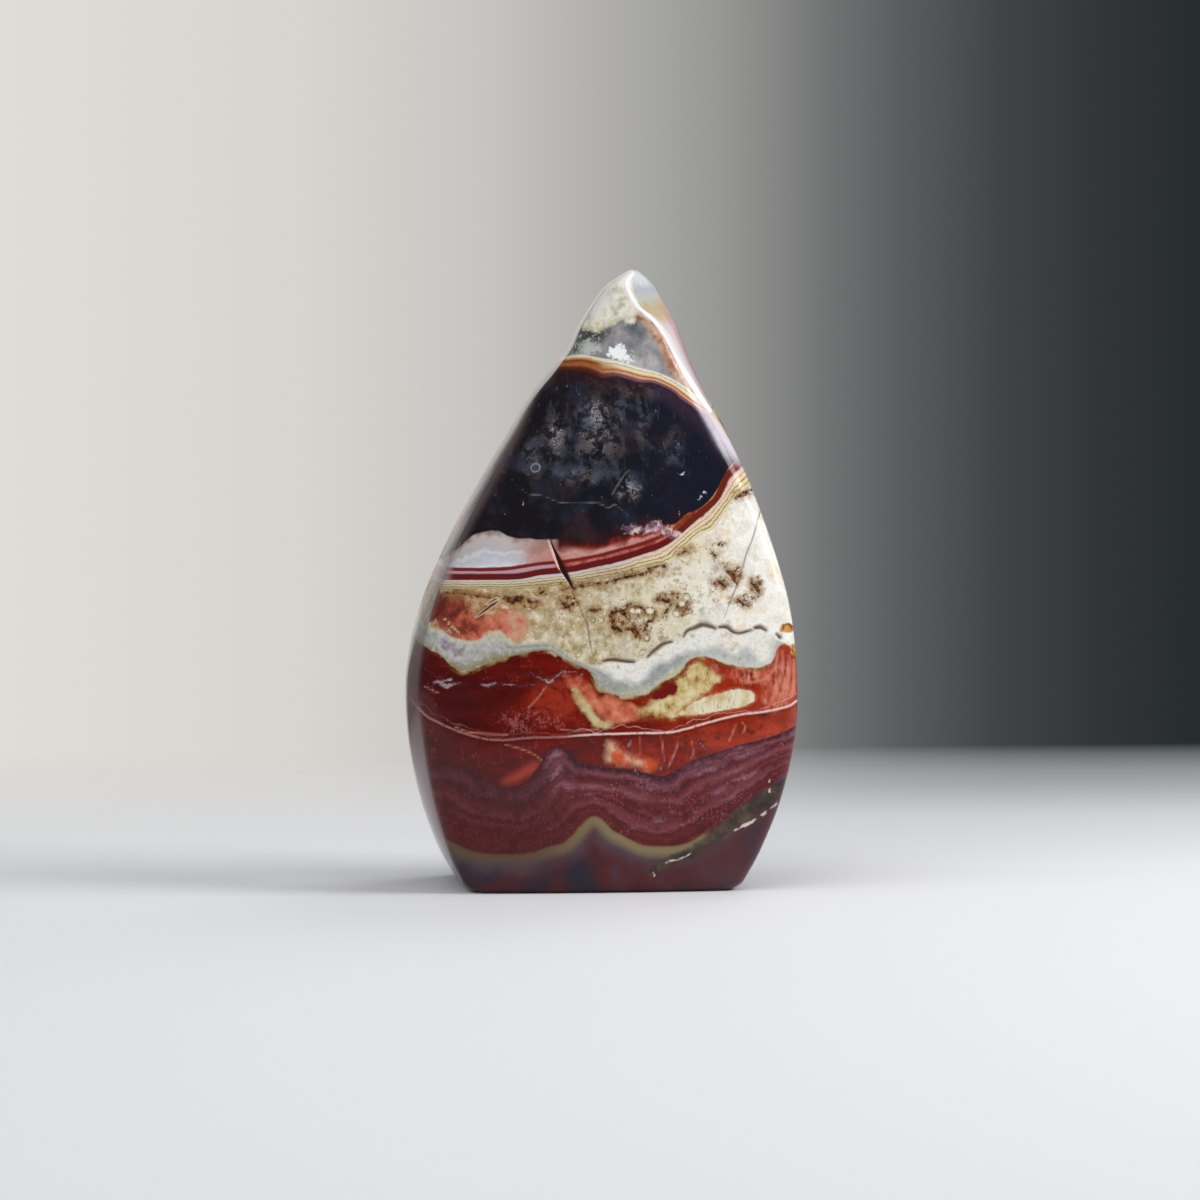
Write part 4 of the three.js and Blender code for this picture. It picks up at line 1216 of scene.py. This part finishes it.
def salmonLayer(b, wobble):
    # under the dark nodule: a pale lens at the left, salmon in the middle, and two red lines
    b.newLayer()
    across = b.field("across")
    share = b.field("salmonShare") + wobble * 0.12
    cloud = b.noise(0.5, 4.0, 0.6)
    ribs = b.noise(0.9, 4.0, 0.6, (1.0, 1.0, 0.6))
    scallops = b.cells(0.8) * 0.2
    lens = b.ramp(share + (cloud - 0.5) * 0.2 + scallops - 0.1, [
        (0.06, 158, 148, 158), (0.2, 168, 160, 172), (0.27, 214, 214, 220), (0.36, 196, 196, 204),
        (0.5, 186, 184, 192), (0.6, 206, 204, 208), (0.68, 182, 176, 180), (0.88, 190, 180, 176),
        (1.0, 140, 120, 114),
    ])
    salmon = b.ramp(share + (cloud - 0.5) * 0.8 + (ribs - 0.5) * 0.3, [
        (0.02, 150, 66, 58), (0.2, 200, 138, 126), (0.38, 178, 98, 84), (0.52, 196, 136, 124),
        (0.66, 144, 54, 42), (0.84, 92, 26, 20), (1.0, 46, 22, 24),
    ])
    orange = b.ramp(cloud + (ribs - 0.5) * 0.6, [
        (0.34, 84, 34, 22), (0.46, 150, 74, 30), (0.56, 186, 104, 50), (0.68, 206, 138, 92),
    ])
    blush = b.step(across + (cloud - 0.5) * 4.0, -12.5, -7.5)
    paint = b.mix(blush, lens, b.mix(0.3, tint(184, 144, 132), salmon))
    paint = b.mix(b.step(across, -6.2, -5.4), paint, salmon)
    pale = b.step(across, -6.2, -4.0) * b.step(across + (cloud - 0.5) * 8.0, 6.0, 1.0)
    paint = b.mix(pale * b.step(share, 0.8, 0.56) * 0.5, paint, tint(206, 162, 152))
    paint = b.mix(b.step(across + cloud * 3.0, 7.5, 10.0), paint, orange)
    first = b.field("firstRedLine") + wobble * 0.14
    between = b.mix(b.step(across, -6.5, -5.5), tint(184, 146, 156), b.ramp(ribs, [
        (0.4, 150, 56, 46), (0.6, 186, 110, 98),
    ]))
    fade = b.step(across, -21.0, -19.0)
    rusty = b.step(across, 8.0, 13.0) * 0.6
    paint = b.mix(b.step(first, 0.32, 0.12) * fade * (1.0 - rusty), paint, tint(118, 36, 32))
    paint = b.mix(b.step(first, -0.18, -0.3) * (1.0 - rusty), paint, between)
    thick = b.field("thickRedLine") + wobble * 0.1
    return b.mix(b.step(thick, 0.5, 0.32) * fade, paint, b.mix(rusty, tint(98, 26, 24), tint(112, 42, 24)))


def noduleLayer(b, wobble):
    # nearly black, with smoky veils, curls and puffs of grey
    b.newLayer()
    across, up = b.field("across"), b.field("up")
    paint = b.mix(b.step(across, -8.0, 14.0), tint(22, 20, 25), tint(22, 25, 38))
    veil = b.step(b.noise(0.22, 5.0, 0.62), 0.46, 0.66) * b.step(across, 16.0, 2.0)
    hue = b.noise(0.26, 2.0)
    paint = b.mix(veil * 0.42, paint, b.mix(b.step(hue, 0.42, 0.56), tint(70, 48, 52), tint(50, 54, 72)))
    near = b.step(b.field("wisp") + b.stray(4.5, 0.4, 4.0, 0.6), 1.4, -1.8)
    smoke = b.noise(0.55, 5.0, 0.6)
    paint = b.mix(near * b.step(smoke, 0.4, 0.64) * 0.75, paint, b.mix(
        b.step(hue, 0.44, 0.56), tint(98, 88, 88), tint(92, 98, 116),
    ))
    puffs = b.noise(1.6, 5.0, 0.66)
    paint = b.mix(near * b.step(puffs, 0.54, 0.68) * 0.5, paint, tint(140, 134, 136))
    curls = b.line(smoke, 0.52, 0.007, 0.012) + b.line(smoke, 0.59, 0.006, 0.01)
    close = b.step(b.field("swirl") + (puffs - 0.5) * 2.0, 0.5, -0.4)
    paint = b.mix(b.calc("MINIMUM", curls, 1.0) * (close * 0.8 + near * 0.18), paint, tint(186, 182, 186))
    paint = b.mix(close * b.step(puffs, 0.5, 0.64) * 0.45, paint, tint(176, 168, 160))
    combed = b.step(b.noise(1.0, 3.0, 0.6, (1.6, 1.6, 0.12)), 0.56, 0.72) * b.step(up, 50.0, 57.0)
    paint = b.mix(combed * b.step(across, 16.0, 8.0) * 0.3, paint, tint(94, 92, 106))
    specks = b.step(b.cells(0.9) + (puffs - 0.5) * 0.5, 0.13, 0.03) * b.step(b.noise(0.35, 2.0), 0.48, 0.56)
    paint = b.mix(specks * 0.4, paint, tint(146, 148, 158))
    ringed = b.line(b.field("ring") + b.stray(0.3, 1.4, 2.0), -0.05, 0.07, 0.05)
    paint = b.mix(ringed * 0.8, paint, tint(136, 146, 172))
    lit = b.step(b.field("ring"), -0.2, -0.4) * 0.5
    paint = b.mix(lit, paint, tint(62, 68, 92))
    rusty = b.step(b.field("blackTop") + wobble, -2.4, -0.2) * 0.5
    paint = b.mix(rusty, paint, b.mix(b.step(across, 4.0, 9.0), tint(56, 26, 26), tint(66, 46, 66)))
    warm = b.step(b.field("blackFloor") + (smoke - 0.5) * 5.0, 2.2, 0.2) * b.step(across, -7.0, 2.0)
    return b.mix(warm * b.step(across, 12.0, 7.0) * 0.6, paint, tint(58, 24, 26))


def stackLayer(b, wobble):
    # the fine bands over the nodule, cream at the top
    b.newLayer()
    across = b.field("across")
    share = b.field("stackShare") + wobble * 0.09 + b.stray(0.08, 1.6, 3.0)
    left = b.ramp(share, [
        (0.0, 206, 202, 188), (0.1, 214, 204, 178), (0.16, 196, 160, 112), (0.24, 158, 98, 56),
        (0.32, 104, 50, 28), (0.4, 146, 82, 42), (0.55, 158, 92, 48), (0.66, 100, 46, 26),
        (0.8, 72, 32, 24), (1.0, 34, 22, 24),
    ])
    right = b.ramp(share, [
        (0.0, 214, 214, 204), (0.14, 232, 226, 208), (0.19, 164, 148, 122), (0.23, 236, 222, 188),
        (0.36, 230, 204, 156), (0.45, 200, 136, 94), (0.51, 124, 70, 52), (0.56, 216, 172, 142),
        (0.67, 190, 132, 108), (0.74, 104, 56, 52), (0.79, 140, 92, 96), (0.87, 70, 46, 66),
        (1.0, 30, 26, 40),
    ])
    paint = b.mix(b.step(across + b.stray(3.0, 0.4, 2.0), -1.4, 3.4), left, right)
    return b.shade(paint, 0.84 + b.noise(3.2, 4.0, 0.66) * 0.32)


def tipLayer(b, wobble):
    # grey translucent stone with green moss and white bloom, under a cream cap; its right wall is partly
    # painted glare and reflection
    b.newLayer()
    across, up, inward = b.field("across"), b.field("up"), b.field("inward")
    cloud = b.noise(0.3, 5.0, 0.62)
    grey = b.ramp(cloud + (72.0 - up) * 0.03, [
        (0.34, 86, 92, 96), (0.48, 120, 122, 126), (0.6, 148, 145, 147), (0.72, 180, 176, 175),
    ])
    feather = b.noise(1.2, 5.0, 0.66)
    bloom = b.step(b.field("bloom") + (feather - 0.5) * 4.0, 0.5, -0.3)
    grey = b.mix(bloom * 0.8, grey, tint(188, 190, 184))
    edge = b.field("mossLine") + b.stray(2.6, 0.9, 4.0)
    moss = b.step(edge, -2.6, -0.8) * b.step(across, 3.0, -1.0) * b.step(b.noise(1.4, 5.0, 0.66), 0.38, 0.5)
    grey = b.mix(moss, grey, tint(62, 66, 58))
    blotch = b.step(b.field("whiteBlotch") + b.stray(2.8, 1.5, 5.0, 0.66), 0.3, -0.3)
    grey = b.mix(blotch, grey, tint(240, 242, 242))
    cream = b.ramp(b.noise(0.4, 5.0, 0.62) + (feather - 0.5) * 0.3, [
        (0.31, 150, 142, 116), (0.42, 202, 198, 178), (0.54, 228, 226, 214), (0.66, 210, 194, 168),
        (0.74, 196, 160, 128),
    ])
    rim = b.field("mossLine") + wobble * 2.0
    cap = b.step(rim, -0.35, 0.4)
    paint = b.mix(cap, grey, cream)
    olive = b.step(rim, 1.6, 0.3) * cap * b.step(feather, 0.42, 0.56)
    paint = b.mix(olive * 0.6, paint, tint(176, 168, 120))
    tan = b.ramp(b.noise(0.7, 4.0, 0.6), [(0.38, 150, 92, 58), (0.5, 186, 130, 94), (0.62, 214, 176, 146)])
    paint = b.mix(b.step(b.field("tipStripe") + wobble * 1.6, 0.6, -0.4) * 0.8, paint, tan)
    # the right wall beside the tip ridge: tan and pink of its own, near-white from about 62 to 72 mm up as
    # painted glare, and blue-grey near the top as painted reflection
    facetWithPaintedGlare = b.ramp((up - 60.0) * 0.05 + b.stray(0.12, 0.8, 3.0), [
        (0.1, 238, 222, 206), (0.3, 246, 228, 230), (0.52, 246, 232, 234), (0.64, 236, 214, 214),
        (0.7, 208, 186, 150), (0.77, 190, 172, 128), (0.82, 184, 184, 180), (0.88, 172, 178, 188),
        (0.94, 212, 216, 220), (1.0, 222, 222, 220),
    ])
    aside = b.step(inward, 0.4, 1.1) * b.step(inward, 13.0, 8.0) * b.step(across, 1.6, 3.4)
    paint = b.mix(aside * 0.92, paint, facetWithPaintedGlare)
    back = b.step(inward, 4.6, 6.4) * b.step(inward, 13.0, 9.0) * b.step(across, 2.4, 4.0)
    paint = b.mix(back * b.step(up, 76.5, 73.5) * 0.5, paint, tint(206, 150, 160))
    veil = b.step(b.field("tipVeil") + (cloud - 0.5) * 3.0, 0.5, -0.8)
    paint = b.mix(veil * 0.75, paint, tint(214, 213, 210))
    side = b.step(inward, 0.6, 2.6) * b.step(across, 1.0, -1.5)
    return b.mix(side * 0.6, paint, tint(186, 186, 180))


def markings(b, paint, wobble):
    # the spots, veins and cracks over the layers, then a painted glare and a painted ridge highlight
    b.newLayer()
    fine = b.stray(0.22, 5.0, 2.0)
    ragged = b.stray(1.6, 1.5, 5.0, 0.66)
    clump = b.field("mossCluster") + b.stray(2.4, 0.9, 4.0, 0.62)
    web = b.noise(1.7, 5.0, 0.66)
    paint = b.mix(b.step(clump, 0.7, -0.5) * 0.55, paint, tint(164, 132, 80))
    rust = b.step(clump, 0.4, -0.4) * b.step(web, 0.47, 0.58)
    paint = b.mix(rust * 0.85, paint, tint(136, 82, 40))
    paint = b.mix(b.step(clump, 0.2, -0.4) * b.step(web, 0.53, 0.6), paint, tint(66, 36, 22))
    pearls = b.cells(1.3) + fine * 1.2
    pearly = b.step(clump, 0.3, -0.3) * b.step(web, 0.56, 0.46)
    paint = b.mix(b.step(pearls, 0.42, 0.34) * pearly * 0.6, paint, tint(108, 70, 40))
    paint = b.mix(b.step(pearls, 0.32, 0.26) * pearly * 0.85, paint, tint(222, 210, 182))
    rim = b.field("brownMark") + ragged
    paint = b.mix(b.step(rim, 0.75, 0.0) * 0.6, paint, tint(150, 112, 68))
    paint = b.mix(b.step(rim + fine, 0.14, -0.14), paint, b.ramp(b.noise(1.8, 3.0), [
        (0.38, 46, 26, 18), (0.5, 84, 48, 26), (0.62, 138, 82, 44),
    ]))
    quartz = b.field("quartz") + fine * 2.0 + wobble * 0.4
    ringed = b.line(quartz, 0.1, 0.05, 0.07) * b.step(web, 0.42, 0.54)
    paint = b.mix(ringed * 0.9, paint, tint(96, 62, 36))
    paint = b.mix(b.step(quartz, 0.05, -0.08) * 0.85, paint, tint(216, 204, 178))
    paint = b.mix(b.step(quartz, -0.1, -0.22) * 0.6, paint, tint(240, 234, 218))
    slit = b.field("paleStreak") + fine * 0.6
    paint = b.mix(b.step(slit, 0.22, 0.08) * 0.7, paint, tint(206, 186, 154))
    paint = b.mix(b.step(slit, 0.06, -0.04), paint, tint(92, 58, 42))
    paint = b.mix(b.step(b.field("amber") + ragged * 0.4, 0.2, -0.1), paint, b.ramp(b.noise(1.4, 3.0), [
        (0.4, 132, 78, 28), (0.6, 212, 158, 84),
    ]))
    paint = b.mix(b.step(b.field("whiteBit") + fine * 1.2, 0.06, -0.06) * 0.9, paint, tint(214, 216, 226))
    knot = b.step(b.field("knot") + ragged * 1.3, 0.25, -0.3)
    paint = b.mix(knot * 0.85, paint, b.ramp(b.noise(1.1, 3.0), [
        (0.38, 116, 84, 104), (0.5, 186, 150, 158), (0.6, 230, 208, 200),
    ]))
    paint = b.mix(b.step(b.field("pinkVein") + fine * 0.5, 0.2, -0.1) * 0.7, paint, tint(208, 132, 112))
    vein = b.field("mainVein") + wobble * 0.16
    grain = b.step(b.noise(2.2, 3.0), 0.3, 0.46)
    veinTint = b.mix(b.step(b.field("across"), -6.0, -1.0), tint(156, 104, 98), tint(234, 204, 194))
    paint = b.mix(b.line(vein, -0.4, 0.07, 0.08) * 0.5, paint, tint(58, 14, 14))
    paint = b.mix(b.line(vein, 0.0, 0.13, 0.1) * (0.35 + grain * 0.6), paint, veinTint)
    second = vein + b.stray(2.4, 0.3, 2.0)
    paint = b.mix(b.line(second, 0.55, 0.05, 0.07) * grain * 0.4, paint, veinTint)
    lace = b.field("whiteVein") + wobble * 0.6 + fine * 1.5
    paint = b.mix(b.step(lace, 0.3, 0.05) * 0.35, paint, tint(76, 34, 40))
    paint = b.mix(b.step(lace, 0.06, -0.16) * grain * 0.75, paint, tint(176, 160, 164))
    paint = b.mix(b.step(b.field("edgeSpeck") + ragged * 0.25, 0.08, -0.08), paint, tint(218, 204, 194))
    paint = b.mix(b.step(b.field("hairline") + wobble * 0.2, 0.12, -0.04) * 0.5, paint, tint(120, 116, 118))
    paint = b.mix(b.step(b.field("thinCrack"), 0.05, -0.06) * 0.55, paint, tint(110, 84, 72))
    shadow = b.step(b.field("crustCrack") + fine, 0.34, -0.04)
    paint = b.mix(shadow * 0.55, paint, tint(160, 142, 122))
    paint = b.mix(b.step(b.field("crustCrack") + fine * 1.4, 0.03, -0.12) * 0.7, paint, tint(92, 76, 70))
    paint = b.mix(b.step(b.field("crackWall") + fine, 0.08, -0.06), paint, tint(218, 178, 166))
    paint = b.mix(b.step(b.field("openCrack") + fine * 0.5, 0.08, -0.08), paint, tint(58, 20, 18))
    paint = b.mix(b.step(b.field("edgeLine"), 0.14, -0.08) * 0.75, paint, tint(214, 206, 198))
    # painted glare: a lilac-white reflection on the rounded right edge beside the dark nodule
    paint = b.mix(b.step(b.field("paintedGlare") + wobble * 0.5, 0.9, -1.0) * 0.9, paint, tint(226, 218, 230))
    paint = b.mix(b.step(b.field("goldEdge") + wobble * 0.4, 0.35, -0.3) * 0.8, paint, tint(226, 202, 154))
    # painted highlight: the near-white line along the tip's right ridge
    return b.mix(b.step(b.field("paintedRidgeHighlight") + wobble * 0.12, 0.16, -0.12) * 0.96, paint, tint(252, 244, 247))


# How the polished skin shines
finishSetup = {
    "roughness": 0.1,         # 0 is a perfect mirror
    "bending": 1.54,
    "shine": 0.23,            # strength of the mirror-like part
    "leftHaze": 0.32,         # how pale the left wall is
    "lightness": 1.0,         # lifts or lowers every colour of the stone
}


def makeFinish():
    b = Bench("polished_agate")
    wobble = b.stray(0.9, 0.8, 3.0) + b.stray(0.3, 2.9, 2.0)
    paint = baseLayer(b)
    paint = b.mix(b.step(b.field("oliveLine") + wobble * 0.4, -0.1, 0.3), paint, burgundyLayer(b, wobble))
    paint = oliveSeam(b, paint, wobble)
    paint = b.mix(b.step(b.field("jasperFloor") + wobble * 0.35, -0.12, 0.12), paint, jasperLayer(b, wobble))
    floor = b.field("waveFloor") + wobble * 0.7
    patchy = b.step(b.noise(0.55, 3.0), 0.42, 0.56)
    paint = b.mix(b.step(floor, -0.5, -0.05) * patchy * 0.85, paint, b.ramp(b.noise(0.35, 2.0), [
        (0.42, 116, 66, 32), (0.54, 164, 142, 84), (0.64, 200, 178, 136),
    ]))
    paint = b.mix(b.step(floor, -0.1, 0.2), paint, waveLayer(b, wobble))
    paint = b.mix(b.step(b.field("waveTop") + wobble * 0.5, -0.25, 0.2), paint, matrixLayer(b, wobble))
    paint = b.mix(b.step(b.field("laceEdge") + wobble * 0.3, -0.08, 0.08), paint, laceLayer(b, wobble))
    paint = b.mix(b.step(b.field("thickRedLine") + wobble * 0.08, -0.46, -0.34), paint, salmonLayer(b, wobble))
    paint = b.mix(b.step(b.field("blackFloor") + wobble * 0.3, -0.1, 0.12), paint, noduleLayer(b, wobble))
    paint = b.mix(b.step(b.field("blackTop") + wobble * 0.15, -0.12, 0.1), paint, stackLayer(b, wobble))
    paint = b.mix(b.step(b.field("stackTop") + wobble * 0.1, -0.1, 0.1), paint, tipLayer(b, wobble))
    paint = markings(b, paint, wobble)
    inward = b.field("inward")
    hazy = b.step(inward, 1.0, 3.2) * b.step(inward, 15.0, 8.0) * b.step(b.field("across"), -7.0, -11.0)
    paint = b.mix(hazy * finishSetup["leftHaze"], paint, tint(150, 116, 112))
    paint = b.shade(paint, finishSetup["lightness"])
    b.plug(b.shader.inputs["Base Color"], paint)
    b.shader.inputs["IOR"].default_value = finishSetup["bending"]
    b.shader.inputs["Specular IOR Level"].default_value = finishSetup["shine"]
    b.plug(b.shader.inputs["Roughness"], finishSetup["roughness"] + b.noise(0.5, 2.0) * 0.05)
    print("finish:", len(b.tree.nodes), "nodes")
    return b.material


stone.data.materials.append(makeFinish())
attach(stone, "root")
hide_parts("agate_stone")


# The table top and the backdrop, in metres
roomSetup = {
    "tableWide": 0.7,         # to each side of the stone
    "tableFront": -0.28,
    "tableBack": 0.21,
    "tableColor": tint(226, 227, 230),
    # it fades away towards the back, as (y in metres, how solid it is)
    "tableFade": [
        (0.016, 1.0), (0.084, 0.79), (0.107, 0.64), (0.131, 0.48), (0.157, 0.36), (0.184, 0.18),
        (0.205, 0.0),
    ],
    "backdropAt": 0.9,
    "backdropLeft": -0.1,
    "backdropRight": 0.6,
    "backdropLow": -0.3,
    "backdropHigh": 0.5,
    # its brightness from left to right, as (x in metres, colour)
    "backdropTones": [
        (-0.08, 224, 221, 216), (0.01, 215, 212, 207), (0.06, 199, 197, 193), (0.095, 176, 175, 172),
        (0.13, 150, 151, 149), (0.16, 114, 115, 115), (0.182, 90, 92, 94), (0.211, 64, 68, 71),
        (0.241, 49, 53, 56), (0.267, 40, 45, 48),
    ],
}


def rampAlong(b, axis, stops, asColor=tint):
    # runs through the stops along one direction, their places in metres
    split = b.node("ShaderNodeSeparateXYZ")
    b.plug(split.inputs[0], b.places())
    first, span = stops[0][0], stops[-1][0] - stops[0][0]
    share = (Wire(b, split.outputs[axis]) * mm - first) * (1 / span)
    return b.ramp(share, [((at - first) / span, *color) for at, *color in stops], asColor)


def tableMaterial():
    # pale and plain, without an edge at the back
    b = Bench("floor")
    solid = rampAlong(b, "Y", roomSetup["tableFade"], lambda s: (s, s, s, 1.0))
    b.plug(b.shader.inputs["Alpha"], solid)
    b.shader.inputs["Base Color"].default_value = roomSetup["tableColor"]
    b.shader.inputs["Roughness"].default_value = 0.7
    return b.material


def backdropMaterial():
    # a softly glowing wall, pale at the left and dark at the right
    b = Bench("backdrop")
    b.plug(b.shader.inputs["Emission Color"], rampAlong(b, "X", roomSetup["backdropTones"]))
    b.shader.inputs["Emission Strength"].default_value = 1.0
    b.shader.inputs["Base Color"].default_value = (0.0, 0.0, 0.0, 1.0)
    b.shader.inputs["Roughness"].default_value = 1.0
    b.shader.inputs["Specular IOR Level"].default_value = 0.0
    return b.material


def makeSheet(name, corners, material):
    mesh = bpy.data.meshes.new(name)
    mesh.from_pydata(corners, [], [(0, 1, 2, 3)])
    mesh.materials.append(material)
    sheet = bpy.data.objects.new(name, mesh)
    bpy.context.scene.collection.objects.link(sheet)


def makeRoom():
    wide, front, back = roomSetup["tableWide"], roomSetup["tableFront"], roomSetup["tableBack"]
    makeSheet(
        "floor", [(-wide, front, 0), (wide, front, 0), (wide, back, 0), (-wide, back, 0)],
        tableMaterial(),
    )
    at, left, right = roomSetup["backdropAt"], roomSetup["backdropLeft"], roomSetup["backdropRight"]
    low, high = roomSetup["backdropLow"], roomSetup["backdropHigh"]
    makeSheet(
        "backdrop", [(left, at, low), (right, at, low), (right, at, high), (left, at, high)],
        backdropMaterial(),
    )
    print("room: floor and backdrop")


makeRoom()


# Lamps round the stone: directions in degrees, distances and sizes in metres, power in watts. A lamp that isn't
# mirrored lights the stone without a glare on its polish.
lampSetup = {
    "key": {"azimuth": 72, "height": 34, "distance": 0.55, "size": (0.24, 0.3), "power": 2.0},
    "margin": {
        "azimuth": 26, "height": 22, "distance": 0.8, "size": (0.14, 0.5), "power": 0.5, "mirrored": False,
    },
    "fill": {
        "azimuth": -48, "height": 38, "distance": 1.0, "size": (1.2, 1.0), "power": 5.9, "mirrored": False,
    },
    "top": {"azimuth": 0, "height": 84, "distance": 0.7, "size": (0.6, 0.5), "power": 1.1},
    "rim": {"azimuth": 140, "height": 45, "distance": 0.6, "size": (0.3, 0.3), "power": 0.75},
}
lampAim = (0, 0, 0.038)
skySetup = {"color": tint(200, 204, 210), "strength": 0.2}


def makeLamps():
    middle = Vector(lampAim)
    for name, lamp in lampSetup.items():
        a, e = math.radians(lamp["azimuth"]), math.radians(lamp["height"])
        way = Vector((math.sin(a) * math.cos(e), -math.cos(a) * math.cos(e), math.sin(e)))
        light = bpy.data.lights.new(name, "AREA")
        light.shape = "RECTANGLE"
        light.size, light.size_y = lamp["size"]
        light.energy = lamp["power"]
        placed = bpy.data.objects.new(name, light)
        bpy.context.scene.collection.objects.link(placed)
        placed.visible_glossy = lamp.get("mirrored", True)
        placed.location = middle + way * lamp["distance"]
        placed.rotation_mode = "QUATERNION"
        placed.rotation_quaternion = (-way).to_track_quat("-Z", "Y")
    world = bpy.data.worlds.new("sky")
    world.use_nodes = True
    sky = world.node_tree.nodes["Background"]
    sky.inputs["Color"].default_value = skySetup["color"]
    sky.inputs["Strength"].default_value = skySetup["strength"]
    bpy.context.scene.world = world
    print("lamps:", len(lampSetup))


makeLamps()
bpy.context.scene.view_settings.view_transform = "Standard"
